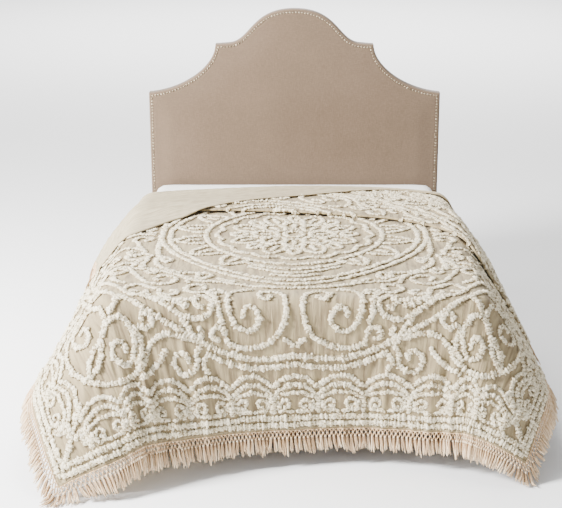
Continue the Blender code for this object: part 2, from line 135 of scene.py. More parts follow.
def hang(across, along):
    side = np.where(across < 0, -1.0, 1.0)
    overSide = np.maximum(np.abs(across) - cloth["halfFlat"], 0.0)
    overFoot = np.maximum(cloth["edgeInset"] - along, 0.0)
    length = np.hypot(overSide, overFoot)
    bearing = np.arctan2(overSide, overFoot + 1e-12)
    past = cloth["cornerSpan"] * bearing / (math.pi / 2) + np.maximum(along - cloth["edgeInset"], 0.0)
    place = np.where(overSide > 0, side * (mattressHalf + past), across * mattressHalf / cloth["halfFlat"])
    drop = np.minimum(
        (cloth["sideDrop"] + cloth["edgeInset"]) / np.maximum(np.sin(bearing), 1e-6),
        (cloth["footDrop"] + cloth["edgeInset"]) / np.maximum(np.cos(bearing), 1e-6),
    )
    turn = np.radians(readTable(skirt, 1, place)) * side
    upper = np.radians(readTable(skirt, 2, place))
    lower = np.radians(readTable(skirt, 3, place))
    steps = cloth["steps"]
    step = length * (1 + readTable(skirt, 4, place)) / steps
    run = (np.arange(steps) + 0.5) / steps * length[..., None]
    fall = upper[..., None] * eased(run / cloth["roll"])
    fall += (lower - upper)[..., None] * eased((run - cloth["roll"]) / (drop - cloth["roll"])[..., None])
    down = np.cumsum(np.sin(fall), axis=-1) * step[..., None]
    down = np.minimum(down, bedTop - cloth["floorClearance"])
    stepsDown = np.diff(down, axis=-1, prepend=0.0)
    out = np.sqrt(np.maximum(step[..., None] ** 2 - stepsDown**2, 0.0)).sum(axis=-1)
    for at, halfWidth, depth, starts in mainFolds:
        share = (length / drop - starts) / (1 - starts)
        out = out + depth * np.exp(-(((place - at) / halfWidth) ** 2)) * eased(share)
    edgeX = np.clip(across, -cloth["halfFlat"], cloth["halfFlat"])
    edgeY = np.maximum(along, cloth["edgeInset"])
    x = middleX + edgeX + out * np.sin(turn)
    y = footY + edgeY - out * np.cos(turn)
    return np.stack([x, y, bedTop + cloth["gap"] - down[..., -1]], axis=-1)


def bedSurface(across, along):
    overSide = np.sign(across) * np.maximum(np.abs(across) - cloth["halfFlat"], 0.0)
    overFoot = np.maximum(cloth["edgeInset"] - along, 0.0)
    length = np.hypot(overSide, overFoot)
    reach = cloth["softened"] * eased(length / cloth["softenedBelow"]) / np.maximum(length, 1e-9)
    return sum(
        weight * hang(across + share * reach * overFoot, along + share * reach * overSide)
        for share, weight in softening
    )


def raised(across, along, height):
    near = 0.002  # the slope is read between places this far to each side
    across, along, height = np.broadcast_arrays(across, along, height)
    byAcross = bedSurface(across + near, along) - bedSurface(across - near, along)
    byAlong = bedSurface(across, along + near) - bedSurface(across, along - near)
    normal = np.cross(byAcross, byAlong)
    normal /= np.linalg.norm(normal, axis=-1, keepdims=True)
    return bedSurface(across, along) + normal * height[..., None]


def pulledIn(across, stage):
    stages = range(len(pullLeft))
    share = np.where(across < 0, np.interp(stage, stages, pullLeft), np.interp(stage, stages, pullRight))
    sideLength = cloth["sideDrop"] + cloth["edgeInset"]
    pastRoll = (np.abs(across) - cloth["halfFlat"] - cloth["turned"]) / (sideLength - cloth["turned"])
    return np.sign(across) * (np.abs(across) - np.clip(pastRoll, 0, 1) * sideLength * (1 - share))


def layerHeight(layer, along, hidden):
    settled = cloth["tuckedLayers"] * eased((along - hidden - cloth["sagStart"]) / cloth["sagLength"])
    return cloth["thickness"] / 2 + cloth["pitch"] * (layer - settled)


def flatLength(across, leg, share):  # how far from the foot hem a place is, along the cloth itself
    hidden, near, far, hem = foldsAt(across)
    drop, inset, roll = cloth["footDrop"], cloth["edgeInset"], cloth["roll"]
    start, length = {
        "skirt": (0 * hidden, drop - (roll - inset)),
        "roll": (drop - (roll - inset) + 0 * hidden, roll),
        "top": (drop + inset + 0 * hidden, hidden - inset),
        "turnHidden": (drop + hidden, 0.001),
        "second": (drop + hidden, hidden - near),
        "turnNear": (drop + 2 * hidden - near, 0.001),
        "third": (drop + 2 * hidden - near, far - near),
        "turnFar": (drop + 2 * hidden - 2 * near + far, 0.001),
        "fourth": (drop + 2 * hidden - 2 * near + far, far - hem),
    }[leg]
    return start + share * length


creases = {
    # place on the foot hem, how far it leans higher up, half width, depth
    "foot": ((-1.08, 0.16, 0.022, 0.008), (-0.97, 0.12, 0.018, -0.008), (-0.86, 0.08, 0.018, 0.008),
             (-0.785, 0.03, 0.015, -0.013), (-0.715, 0.00, 0.015, 0.013), (-0.645, -0.03, 0.014, -0.014),
             (-0.580, -0.06, 0.015, 0.012), (-0.505, -0.09, 0.015, -0.012), (-0.43, -0.11, 0.018, 0.009),
             (-0.34, -0.11, 0.016, -0.006), (-0.22, -0.07, 0.020, 0.005), (-0.13, -0.04, 0.014, -0.005),
             (-0.03, 0.00, 0.020, 0.004), (0.10, 0.03, 0.016, -0.005), (0.21, 0.05, 0.020, 0.005),
             (0.32, 0.07, 0.013, -0.009), (0.39, 0.08, 0.015, 0.007), (0.49, 0.09, 0.020, -0.005),
             (0.585, 0.08, 0.015, 0.009), (0.645, 0.05, 0.014, -0.012), (0.705, 0.03, 0.015, 0.010),
             (0.79, -0.02, 0.016, -0.007), (0.90, -0.08, 0.022, 0.006), (1.02, -0.13, 0.024, -0.006)),
    # place up the bed, the same for both sides
    "side": ((0.06, 0.04, 0.024, -0.006), (0.18, 0.03, 0.026, 0.005), (0.33, 0.02, 0.030, -0.006),
             (0.50, 0.01, 0.028, 0.006), (0.66, 0.00, 0.026, -0.006), (0.84, 0.00, 0.030, 0.005),
             (1.05, 0.00, 0.030, -0.005)),
    "starts": 0.06,  # metres down from the bed's edge
    "full": 0.40,
    "sidesDiffer": 0.03,
    "puckers": 0.0006,
    "skirtPuckers": 0.0018,
    "puckerWidths": (0.052, 0.083),
    "wander": 0.012,  # they stray this far sideways
    "wanderLength": 0.31,
    "fadeLength": 0.19,  # and come and go along the cloth
}


def wave(at, length, turned=0.0):
    return np.sin(2 * math.pi * at / length + turned)


def rumple(across, fromHem):
    # soft creases in the skirt, and shallow puckers all over that run with the length of the cloth
    toFoot = cloth["footDrop"] - fromHem
    toSide = np.abs(across) - mattressHalf
    height = 0 * toFoot
    shift = creases["sidesDiffer"] * np.sign(across)
    for kind, below, place, moved in (("foot", toFoot, across, 0.0), ("side", toSide, -toFoot, shift)):
        down = eased((below - creases["starts"]) / (creases["full"] - creases["starts"]))
        for at, lean, halfWidth, depth in creases[kind]:
            line = at + lean * (1 - down) + moved
            height = height + depth * down * np.exp(-(((place - line) / halfWidth) ** 2))
    free = eased(np.maximum(toFoot, toSide) / 0.15)
    amount = creases["puckers"] + (creases["skirtPuckers"] - creases["puckers"]) * free
    wander = creases["wander"] * wave(fromHem, creases["wanderLength"], 5 * across)
    narrow, wide = creases["puckerWidths"]
    waves = wave(across + wander, narrow) + 0.7 * wave(across - wander, wide)
    return height + amount * waves * (0.6 + 0.4 * wave(fromHem, creases["fadeLength"], 9 * across))


def clothPoint(across, leg, share, offset):  # offset is towards the tufted side
    across, share = np.broadcast_arrays(np.asarray(across, float), np.asarray(share, float))
    hidden, near, far, hem = foldsAt(across)
    flat = np.clip(across, -cloth["width"] / 2, cloth["width"] / 2)
    offset = offset + rumple(flat, np.maximum(flatLength(across, leg, share), 0.0))
    middle, pitch = cloth["thickness"] / 2, cloth["pitch"]
    inset, roll = cloth["edgeInset"], cloth["roll"]
    angle = math.pi * (share - 0.5)
    if leg == "skirt":
        return raised(across, (share - 1) * cloth["footDrop"] - share * (roll - inset), middle + offset)
    if leg == "roll":
        return raised(across, inset - roll * (1 - share) + 0 * hidden, middle + offset)
    if leg == "top":
        return raised(across, inset + share * (hidden - inset), middle + offset)
    if leg == "turnHidden":
        radius = pitch / 2 - offset
        return raised(across, hidden + radius * np.cos(angle), middle + pitch / 2 + radius * np.sin(angle))
    if leg == "second":
        return raised(pulledIn(across, share), hidden + share * (near - hidden), middle + pitch - offset)
    if leg == "turnNear":
        radius = pitch / 2 + offset
        height = middle + 1.5 * pitch + radius * np.sin(angle)
        return raised(pulledIn(across, 1.0), near - radius * np.cos(angle), height)
    if leg == "third":
        along = near + share * (far - near)
        return raised(pulledIn(across, 1.0 + share), along, layerHeight(2, along, hidden) + offset)
    if leg == "turnFar":
        radius = pitch / 2 - offset
        height = layerHeight(2.5, far, hidden) + radius * np.sin(angle)
        return raised(pulledIn(across, 2.0), far + radius * np.cos(angle), height)
    # the last leg, the flap, comes down past the near fold
    along = far + share * (hem - far)
    settled = eased((near - along - cloth["flapStart"]) / cloth["flapLength"])
    dropped = cloth["tuckedLayers"] * pitch * settled
    return raised(pulledIn(across, 2.0 + share), along, layerHeight(3, along, hidden) - dropped - offset)


# small tools, for colours, materials and meshes


def toLinear(hexColour):
    values = [int(hexColour[i:i + 2], 16) / 255 for i in (1, 3, 5)]
    return tuple(v / 12.92 if v <= 0.04045 else ((v + 0.055) / 1.055) ** 2.4 for v in values) + (1.0,)


def startMaterial(name):
    material = bpy.data.materials.new(name)
    material.use_nodes = True
    tree = material.node_tree
    return material, tree, tree.nodes["Principled BSDF"]


def setInputs(tree, node, inputs):  # a socket is linked, anything else is a value
    for name, value in inputs.items():
        if isinstance(value, bpy.types.NodeSocket):
            tree.links.new(value, node.inputs[name])
        else:
            node.inputs[name].default_value = value


def addNode(tree, kind, settings=None, inputs=None, stops=()):  # stops are for a colour ramp
    node = tree.nodes.new("ShaderNode" + kind)
    for name, value in (settings or {}).items():
        setattr(node, name, value)
    setInputs(tree, node, inputs or {})
    if stops:
        elements = node.color_ramp.elements
        while len(elements) < len(stops):
            elements.new(0.5)
        for element, (position, colour) in zip(elements, stops):
            element.position = position
            element.color = toLinear(colour)
    return node


def makePiece(name, points, faces, material, flat=None):
    mesh = bpy.data.meshes.new(name)
    faces = faces.tolist() if isinstance(faces, np.ndarray) else faces
    mesh.from_pydata(np.asarray(points).tolist(), [], faces)
    if flat is not None:
        layer = mesh.uv_layers.new(name="flatCloth")
        corners = np.empty(len(mesh.loops), np.int32)
        mesh.loops.foreach_get("vertex_index", corners)
        layer.data.foreach_set("uv", np.asarray(flat, np.float32)[corners].ravel())
    mesh.materials.append(material)
    mesh.validate()
    mesh.shade_smooth()
    piece = bpy.data.objects.new(name, mesh)
    bpy.context.scene.collection.objects.link(piece)
    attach(piece, "root")
    return piece


def slabFaces(rows, columns):  # two grids of points, one over the other, closed round their rim
    count = rows * columns
    index = np.arange(count).reshape(rows, columns)
    corner = index[:-1, :-1].ravel()
    over = np.stack([corner, corner + 1, corner + columns + 1, corner + columns], axis=1)
    rim = np.concatenate([index[0, :-1], index[:-1, -1], index[-1, :0:-1], index[:0:-1, 0]])
    after = np.roll(rim, -1)
    edge = np.stack([after, rim, rim + count, after + count], axis=1)
    return over, edge, (over + count)[:, ::-1]


def tubeFaces(number, steps, sides):  # closed tubes, each of this many rings
    n, i, k = np.meshgrid(np.arange(number), np.arange(steps - 1), np.arange(sides), indexing="ij")
    a = (n * steps + i) * sides + k
    b = (n * steps + i) * sides + (k + 1) % sides
    faces = np.stack([a, b, b + sides, a + sides], axis=-1).reshape(-1, 4).tolist()
    starts = np.arange(number) * steps * sides
    faces += [[start + k for k in range(sides)][::-1] for start in starts]
    faces += [[start + (steps - 1) * sides + k for k in range(sides)] for start in starts]
    return faces


def movedOn(faces, count):
    return [[count + corner for corner in face] for face in faces]


def unit(vectors):
    return vectors / np.maximum(np.linalg.norm(vectors, axis=-1, keepdims=True), 1e-12)


def travelled(points):  # how far along a line each of its points is
    return np.concatenate([[0], np.cumsum(np.linalg.norm(np.diff(points, axis=0), axis=1))])


def crinkledMuslin():
    # washed plain-weave cotton: matt, with fine creases along its length that stay from the washing; their
    # noise also colours it, darker in the hollows (painted shade) and lighter on the ridges (painted
    # highlight)
    look = {"thread": 2.4, "crease": 22, "shade": "#7E6E54", "base": "#978768", "light": "#A89875"}
    material, tree, shader = startMaterial("crinkledMuslin")
    place = addNode(tree, "UVMap", {"uv_map": "flatCloth"})
    stretched = addNode(tree, "Mapping", inputs={
        "Vector": place.outputs["UV"], "Scale": (1000 / look["crease"], 1000 / look["crease"] / 6, 1)})
    crease = addNode(tree, "TexNoise", {"noise_dimensions": "2D"}, {
        "Vector": stretched.outputs["Vector"], "Scale": 1.0, "Detail": 3.0, "Roughness": 0.45,
        "Distortion": 0.3})
    # painted shade and highlight: the crease noise darkens the colour in the crease hollows and lightens it
    # on their ridges
    colour = addNode(tree, "ValToRGB", inputs={"Fac": crease.outputs["Fac"]}, stops=(
        (0.28, look["shade"]), (0.46, look["base"]), (0.74, look["light"])))
    # the real thread is about 0.4 mm apart, too fine to show, so it is drawn coarser
    threads = addNode(tree, "Mapping", inputs={
        "Vector": place.outputs["UV"], "Scale": (1000 / look["thread"], 1000 / look["thread"], 1)})
    weave = addNode(tree, "TexChecker", inputs={
        "Vector": threads.outputs["Vector"], "Scale": 1.0,
        "Color1": (1, 1, 1, 1), "Color2": (0.9, 0.9, 0.9, 1)})
    woven = addNode(tree, "Mix", {"data_type": "RGBA", "blend_type": "MULTIPLY"}, {
        "Factor": 0.7, "A": colour.outputs["Color"], "B": weave.outputs["Color"]})
    fine = addNode(tree, "Bump", inputs={
        "Height": weave.outputs["Fac"], "Distance": 0.0004, "Strength": 0.4})
    deep = addNode(tree, "Bump", inputs={
        "Height": crease.outputs["Fac"], "Distance": 0.008, "Strength": 0.7,
        "Normal": fine.outputs["Normal"]})
    setInputs(tree, shader, {
        "Base Color": woven.outputs["Result"], "Normal": deep.outputs["Normal"], "Roughness": 0.92,
        "Specular IOR Level": 0.25, "Sheen Weight": 0.1, "Sheen Roughness": 0.5})
    return material


def plainReverse():
    # the untufted back of the same cotton: flatter and greyer, with slubs across its width
    look = {"slub": 12, "shade": "#9B8E74", "light": "#B9AC90"}
    material, tree, shader = startMaterial("plainCottonReverse")
    place = addNode(tree, "UVMap", {"uv_map": "flatCloth"})
    stretched = addNode(tree, "Mapping", inputs={
        "Vector": place.outputs["UV"], "Scale": (1000 / look["slub"] / 9, 1000 / look["slub"], 1)})
    slub = addNode(tree, "TexNoise", {"noise_dimensions": "2D"}, {
        "Vector": stretched.outputs["Vector"], "Scale": 1.0, "Detail": 3.0, "Roughness": 0.6})
    colour = addNode(tree, "ValToRGB", inputs={"Fac": slub.outputs["Fac"]}, stops=(
        (0.32, look["shade"]), (0.62, look["light"])))
    bump = addNode(tree, "Bump", inputs={
        "Height": slub.outputs["Fac"], "Distance": 0.003, "Strength": 0.6})
    setInputs(tree, shader, {
        "Base Color": colour.outputs["Color"], "Normal": bump.outputs["Normal"], "Roughness": 0.92,
        "Specular IOR Level": 0.25})
    return material


def cutChenille():
    # soft cotton roving, tufted in rows and cut: its colour is painted darker low on each rope, between its
    # tufts and where its fluff noise dips (painted shade), and lighter on top (painted highlight)
    look = {"fluff": 5.6, "lump": 11, "root": "#7F6B4C", "body": "#DACAA4", "tip": "#FAEFD4"}
    material, tree, shader = startMaterial("cutChenille")
    place = addNode(tree, "TexCoord")
    toneAndPaintedShade = addNode(tree, "UVMap", {"uv_map": "flatCloth"})
    parts = addNode(tree, "SeparateXYZ", inputs={"Vector": toneAndPaintedShade.outputs["UV"]})
    fluff = addNode(tree, "TexNoise", inputs={
        "Vector": place.outputs["Object"], "Scale": 1000 / look["fluff"], "Detail": 2.0, "Roughness": 0.7})
    lumps = addNode(tree, "TexNoise", inputs={
        "Vector": place.outputs["Object"], "Scale": 1000 / look["lump"], "Detail": 1.5})
    both = addNode(tree, "Mix", {"data_type": "FLOAT"}, {
        "Factor": 0.40, "A": fluff.outputs["Fac"], "B": lumps.outputs["Fac"]})
    toneWithPaintedShade = addNode(tree, "Math", {"operation": "MULTIPLY_ADD"}, {
        0: both.outputs["Result"], 1: 2.1, 2: -0.55})
    # the first map direction is the tone of each tuft, the second how high in the pile it is, lower between
    # tufts: painted shade, darker down the rope's sides and in the gaps
    for part, amount in (("Y", 0.30), ("X", 0.10)):
        toneWithPaintedShade = addNode(tree, "Math", {"operation": "MULTIPLY_ADD"}, {
            0: parts.outputs[part], 1: amount, 2: toneWithPaintedShade.outputs["Value"]})
    colour = addNode(tree, "ValToRGB", inputs={"Fac": toneWithPaintedShade.outputs["Value"]}, stops=(
        (0.54, look["root"]), (0.70, look["body"]), (0.88, look["tip"])))
    bump = addNode(tree, "Bump", inputs={
        "Height": both.outputs["Result"], "Distance": 0.012, "Strength": 1.0})
    setInputs(tree, shader, {
        "Base Color": colour.outputs["Color"], "Normal": bump.outputs["Normal"], "Roughness": 0.95,
        "Specular IOR Level": 0.15, "Sheen Weight": 0.1, "Sheen Roughness": 0.6})
    return material


def twistedFringeYarn():
    # loosely plied cotton, dyed a dusty tan, its colour lighter towards its tips
    look = {"ply": 3.2, "heading": "#BEA582", "strand": "#C6A57E", "deep": "#8E6E50", "tip": "#EEDBBE"}
    material, tree, shader = startMaterial("twistedFringeYarn")
    place = addNode(tree, "UVMap", {"uv_map": "flatCloth"})
    parts = addNode(tree, "SeparateXYZ", inputs={"Vector": place.outputs["UV"]})
    # the second map direction runs down each strand, the first is the tone of the strand; its dark end, deep,
    # is painted shade, given in full to the strands hung behind each tassel
    alongStrand = addNode(tree, "ValToRGB", inputs={"Fac": parts.outputs["Y"]}, stops=(
        (0.0, look["heading"]), (0.30, look["strand"]), (1.0, look["tip"])))
    perStrand = addNode(tree, "ValToRGB", inputs={"Fac": parts.outputs["X"]}, stops=(
        (0.0, look["deep"]), (0.50, look["strand"]), (1.0, look["tip"])))
    mixed = addNode(tree, "Mix", {"data_type": "RGBA"}, {
        "Factor": 0.65, "A": alongStrand.outputs["Color"], "B": perStrand.outputs["Color"]})
    where = addNode(tree, "TexCoord")
    ply = addNode(tree, "TexNoise", inputs={
        "Vector": where.outputs["Object"], "Scale": 1000 / look["ply"], "Detail": 2.0})
    bump = addNode(tree, "Bump", inputs={
        "Height": ply.outputs["Fac"], "Distance": 0.002, "Strength": 0.7})
    setInputs(tree, shader, {
        "Base Color": mixed.outputs["Result"], "Normal": bump.outputs["Normal"], "Roughness": 0.9,
        "Specular IOR Level": 0.2})
    return material


def simpleWeave(name, base, shade, threadMm, blotchMm, bumpMm):
    # plain woven cover: two crossing thread directions with a slow change of tone across it
    material, tree, shader = startMaterial(name)
    place = addNode(tree, "TexCoord")
    blotch = addNode(tree, "TexNoise", inputs={
        "Vector": place.outputs["Object"], "Scale": 1000 / blotchMm, "Detail": 3.0})
    slubs = []
    for stretch in ((1, 1, 9), (9, 9, 1)):
        turned = addNode(tree, "Mapping", inputs={
            "Vector": place.outputs["Object"], "Scale": [1000 / threadMm / s for s in stretch]})
        slubs.append(addNode(tree, "TexNoise", inputs={
            "Vector": turned.outputs["Vector"], "Scale": 1.0, "Detail": 2.0}).outputs["Fac"])
    woven = addNode(tree, "Math", {"operation": "MULTIPLY"}, {0: slubs[0], 1: slubs[1]})
    tone = addNode(tree, "Math", {"operation": "MULTIPLY_ADD"}, {
        0: woven.outputs["Value"], 1: 1.3, 2: -0.05})
    both = addNode(tree, "Math", {"operation": "MULTIPLY_ADD"}, {
        0: blotch.outputs["Fac"], 1: 0.5, 2: tone.outputs["Value"]})
    colour = addNode(tree, "ValToRGB", inputs={"Fac": both.outputs["Value"]}, stops=(
        (0.30, shade), (0.72, base)))
    bump = addNode(tree, "Bump", inputs={
        "Height": woven.outputs["Value"], "Distance": bumpMm / 1000, "Strength": 0.5})
    setInputs(tree, shader, {
        "Base Color": colour.outputs["Color"], "Normal": bump.outputs["Normal"], "Roughness": 0.9,
        "Specular IOR Level": 0.25, "Sheen Weight": 0.15})
    return material


def lacqueredBrass():
    # aged brass nailheads under a pale lacquer: dull gold, bright only where they face the light
    look = {"patches": 90.0, "dull": "#756854", "bright": "#BCAE96"}  # patches to a metre
    material, tree, shader = startMaterial("lacqueredBrass")
    place = addNode(tree, "TexCoord")
    worn = addNode(tree, "TexNoise", inputs={
        "Vector": place.outputs["Object"], "Scale": look["patches"], "Detail": 2.0})
    colour = addNode(tree, "ValToRGB", inputs={"Fac": worn.outputs["Fac"]}, stops=(
        (0.35, look["dull"]), (0.65, look["bright"])))
    setInputs(tree, shader, {
        "Base Color": colour.outputs["Color"], "Metallic": 1.0, "Roughness": 0.32})
    return material


def stainedBeech():
    # turned beech, stained brown and sealed: long fine grain down the leg
    look = {"grain": 4, "grainLength": 70, "dark": "#4A3022", "light": "#7A553B"}
    material, tree, shader = startMaterial("stainedBeech")
    place = addNode(tree, "TexCoord")
    turned = addNode(tree, "Mapping", inputs={"Vector": place.outputs["Object"], "Scale": (
        1000 / look["grain"], 1000 / look["grain"], 1000 / look["grainLength"])})
    grain = addNode(tree, "TexNoise", inputs={
        "Vector": turned.outputs["Vector"], "Scale": 1.0, "Detail": 4.0, "Roughness": 0.6})
    colour = addNode(tree, "ValToRGB", inputs={"Fac": grain.outputs["Fac"]}, stops=(
        (0.35, look["dark"]), (0.65, look["light"])))
    bump = addNode(tree, "Bump", inputs={
        "Height": grain.outputs["Fac"], "Distance": 0.0003, "Strength": 0.5})
    setInputs(tree, shader, {
        "Base Color": colour.outputs["Color"], "Normal": bump.outputs["Normal"], "Roughness": 0.42})
    return material


muslin = crinkledMuslin()
reverse = plainReverse()
chenille = cutChenille()
fringeYarn = twistedFringeYarn()
upholstery = simpleWeave("taupeUpholstery", "#6F5D4C", "#605040", 2.2, 320, 0.5)
percale = simpleWeave("whitePercale", "#F1EFEB", "#E4E1DC", 1.4, 180, 0.2)
baseLinen = simpleWeave("brownLinen", "#7A6550", "#62503F", 2.4, 200, 0.5)
brass = lacqueredBrass()
beech = stainedBeech()
print("materials made")


# the ground of the spread is one folded sheet of muslin

ground = {
    "columns": 252,
    "rows": (("skirt", 44), ("roll", 10), ("top", 58), ("turnHidden", 5), ("second", 8),
             ("turnNear", 6), ("third", 28), ("turnFar", 6), ("fourth", 24)),
    "centre": -0.0015,  # below the middle of the solid, because the pile stands above it
    "half": 0.0009,
    "hem": 0.012,
    "hemThicker": 2.2,  # times, where the hem is turned under
    "flapSinks": 0.0025,
}


def makeGround():
    # a narrow hem stands along each side, and the cloth is thicker there
    halfWidth, hem, thicker = cloth["width"] / 2, ground["hem"], ground["hemThicker"]
    inner = np.linspace(-halfWidth + 2 * hem, halfWidth - 2 * hem, ground["columns"] - 5)
    edge = np.array([halfWidth, halfWidth - hem, halfWidth - hem - 0.001])
    across = np.concatenate([-edge, inner, edge[::-1]])
    half = ground["half"] * np.where(np.abs(across) > halfWidth - hem - 0.0005, thicker, 1.0)
    skirtLength = cloth["footDrop"] - cloth["roll"] + cloth["edgeInset"]
    lines = [("skirt", 0.0), ("skirt", hem / skirtLength), ("skirt", (hem + 0.001) / skirtLength)]
    for leg, cells in ground["rows"]:
        lines += [(leg, (i + 1) / cells) for i in range(cells)]
    upper, lower, flat = [], [], []
    for row, (leg, share) in enumerate(lines):
        inHem = row < 2 or (leg == "fourth" and share > 0.96)
        thick = np.minimum(half * (thicker if inHem else 1.0), ground["half"] * thicker)
        # the flap at the head rests on the pile below it
        centre = ground["centre"] + (ground["flapSinks"] * eased(6 * share) if leg == "fourth" else 0.0)
        upper.append(clothPoint(across, leg, share, centre + thick))
        lower.append(clothPoint(across, leg, share, centre - thick))
        flat.append(np.stack([across, flatLength(across, leg, share)], axis=-1))
    faces = slabFaces(len(lines), len(across))
    points = np.concatenate(upper + lower)
    piece = makePiece("bedspreadGround", points, np.concatenate(faces), muslin,
                      np.concatenate(flat * 2))
    piece.data.materials.append(reverse)
    piece.data.polygons.foreach_set("material_index", np.repeat([0, 0, 1], [len(part) for part in faces]))
    return piece


groundPiece = makeGround()
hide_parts("bedspread")
print("ground cloth made")


# the tufted design, drawn on the flat cloth: x across, y from its middle towards the foot

design = {
    "edge": 0.97,  # y of the bed's foot edge
    "skew": 0.20,  # the spread is this much longer than it is wide, in each half
    "step": 0.0048,
    "turn": 0.016,  # the length of row that bends round the near fold
    "stretch": 1.1,  # the medallion is a little longer than wide
    "scrollMiddle": 0.22,  # radius at the middle of a scroll, as a share of the whole
    "archPitch": 0.20,
    # rows run on this far out of sight, below the cloth that covers them
    "belowHem": 0.015,
    "belowSide": 0.01,
    "belowFold": 0.02,
    "belowTurned": 0.03,
}


def smoothLine(points):
    points = np.array(points, float)
    gone = travelled(points)
    at = np.linspace(0, gone[-1], max(int(gone[-1] / design["step"]), 3))
    return np.stack([curveThrough(gone, points[:, 0], at), curveThrough(gone, points[:, 1], at)], axis=1)


def scroll(x, y, radius, endAngle, turns):  # from its middle outwards
    count = max(int(abs(turns) * 14), 6)
    share = np.arange(count + 1) / count
    angle = np.radians(endAngle - 360 * turns * (1 - share))
    tight = design["scrollMiddle"]
    reach = radius * (tight + (1 - tight) * share**0.85)
    return [(x + r * math.cos(a), y + r * math.sin(a)) for r, a in zip(reach, angle)]


def drawn(strokes):
    # each part of a stroke is a point, or a scroll: its middle, radius, the way it ends, its turns
    lines = []
    for stroke in strokes:
        points = []
        for k, part in enumerate(stroke):
            points += [part] if len(part) == 2 else scroll(*part)[::-1 if k else 1]
        lines.append(smoothLine(points))
    return lines


def ogeeRing(halfWidth, halfHeight, tip):
    angle = np.radians(np.linspace(-90, 270, 180))
    tall = halfHeight * np.sin(angle) + tip * np.sign(np.sin(angle)) * np.abs(np.sin(angle)) ** 6
    return smoothLine(np.stack([halfWidth * np.cos(angle), tall], axis=1))


def petal(angle, start, end, halfWidth, pointed):
    # an outline that leaves the middle and comes back to it, round or pointed at its tip
    share = np.linspace(0, 1, 15)
    along = start + (end - start) * share
    wide = halfWidth * np.sin(math.pi * share) ** (0.8 if pointed else 0.55)
    c, s = math.cos(math.radians(angle)), math.sin(math.radians(angle))
    sides = [[(a * c - way * w * s, (a * s + way * w * c) * design["stretch"]) for a, w in zip(along, wide)]
             for way in (1, -1)]
    if pointed:
        return [smoothLine(side) for side in sides]
    return [smoothLine(sides[0] + sides[1][-2::-1])]


# half of each crescent in the medallion's pointed ends, to its tip
crescents = (
    ((0.235, 0.452), (0.12, 0.532), (0, 0.562)),
    ((0.205, 0.52), (0.1, 0.588), (0, 0.618)),
    ((0.11, 0.64), (0, 0.664)),
)


def makeMedallion():
    stretch = design["stretch"]
    circle = np.radians(np.linspace(0, 360, 25))
    lines = [smoothLine(np.stack([0.045 * np.cos(circle), 0.049 * np.sin(circle)], axis=1))]
    for k in range(8):
        lines += petal(45 * k, 0.075, 0.195, 0.048, pointed=False)
        lines += petal(45 * k + 22.5, 0.150, 0.315, 0.050, pointed=True)
        for turned, inside, outside in ((0, 0.105, 0.165), (22.5, 0.195, 0.270)):
            c, s = math.cos(math.radians(45 * k + turned)), math.sin(math.radians(45 * k + turned))
            reach = (inside, (inside + outside) / 2, outside)
            lines.append(smoothLine([(r * c, stretch * r * s) for r in reach]))
        lines += petal(45 * k, 0.222, 0.300, 0.024, pointed=False)
    ring = np.radians(np.linspace(0, 360, 193))
    scallop = 0.345 + 0.028 * np.abs(np.cos(8 * ring))
    lines.append(smoothLine(np.stack([scallop * np.cos(ring), stretch * scallop * np.sin(ring)], axis=1)))
    lines += [ogeeRing(*sizes) for sizes in ((0.420, 0.452, 0.040), (0.588, 0.612, 0.110),
                                             (0.628, 0.652, 0.122))]
    for way in (1, -1):
        for half in crescents:
            left = [(-x, way * y) for x, y in half]
            lines.append(smoothLine(left + [(x, way * y) for x, y in half[-2::-1]]))
    # pointed leaves stand round the ring, apart from its ends
    for k in range(16):
        angle = math.radians(22.5 * k + 11.25)
        if abs(math.cos(angle)) < 0.5:
            continue
        base = np.array([0.435 * math.cos(angle), 0.470 * math.sin(angle)])
        tip = np.array([0.574 * math.cos(angle), 0.600 * math.sin(angle)])
        aside = np.array([-math.sin(angle), math.cos(angle)])
        middle = (base + tip) / 2
        for way in (1, -1):
            lines.append(smoothLine([base + way * 0.066 * aside, middle + way * 0.050 * aside, tip]))
        lines.append(smoothLine([base + 0.10 * (tip - base), base + 0.62 * (tip - base)]))
    return lines


# one corner of the bed's top, outside the medallion, and the corner of the skirt
cornerStrokes = (
    ((0.56, 0.705, 0.08, 20, -1.11), (0.672, 0.662), (0.712, 0.56), (0.69, 0.455),
     (0.722, 0.385, 0.048, 160, 0.81)),
    ((0.398, 0.828, 0.066, 120, 1.07), (0.33, 0.9), (0.276, 0.888)),
    ((0.512, 0.88, 0.052, 330, -0.89), (0.59, 0.83), (0.66, 0.78), (0.715, 0.84)),
    ((0.69, 0.27), (0.72, 0.19), (0.7, 0.095, 0.056, 60, 0.96)),
    ((0.64, 0.575), (0.545, 0.61), (0.462, 0.69), (0.445, 0.76)),
    ((0.25, 0.775), (0.32, 0.745), (0.4, 0.735), (0.452, 0.69)),
    ((0.575, 0.43, 0.044, 30, 1.04), (0.604, 0.5), (0.558, 0.562), (0.49, 0.612), (0.42, 0.622),
     (0.395, 0.664, 0.042, -120, 0.96)),
    ((0.69, 0.33), (0.664, 0.34), (0.64, 0.372)),
    ((0.33, 0.7), (0.29, 0.728), (0.24, 0.742)),
    ((0.625, 0.6, 0.04, 280, 0.89), (0.66, 0.56), (0.668, 0.5), (0.652, 0.42)),
    ((0.655, 0.02), (0.7, 0.005), (0.75, 0)),
    ((0.655, 0.885, 0.046, 200, 0.89), (0.6, 0.93), (0.5, 0.955), (0.4, 0.95)),
    ((0.868, 1.068), (0.915, 1.145), (0.99, 1.19)),
    ((0.868, 1.068), (0.945, 1.115), (0.99, 1.19)),
    ((1.062, 1.257), (1.262, 1.457)),
    ((1.184, 1.3, 0.032, 200, 0.89), (1.156, 1.33), (1.176, 1.352)),
    ((1.1, 1.384, 0.032, 250, -0.89), (1.13, 1.356), (1.152, 1.376)),
)
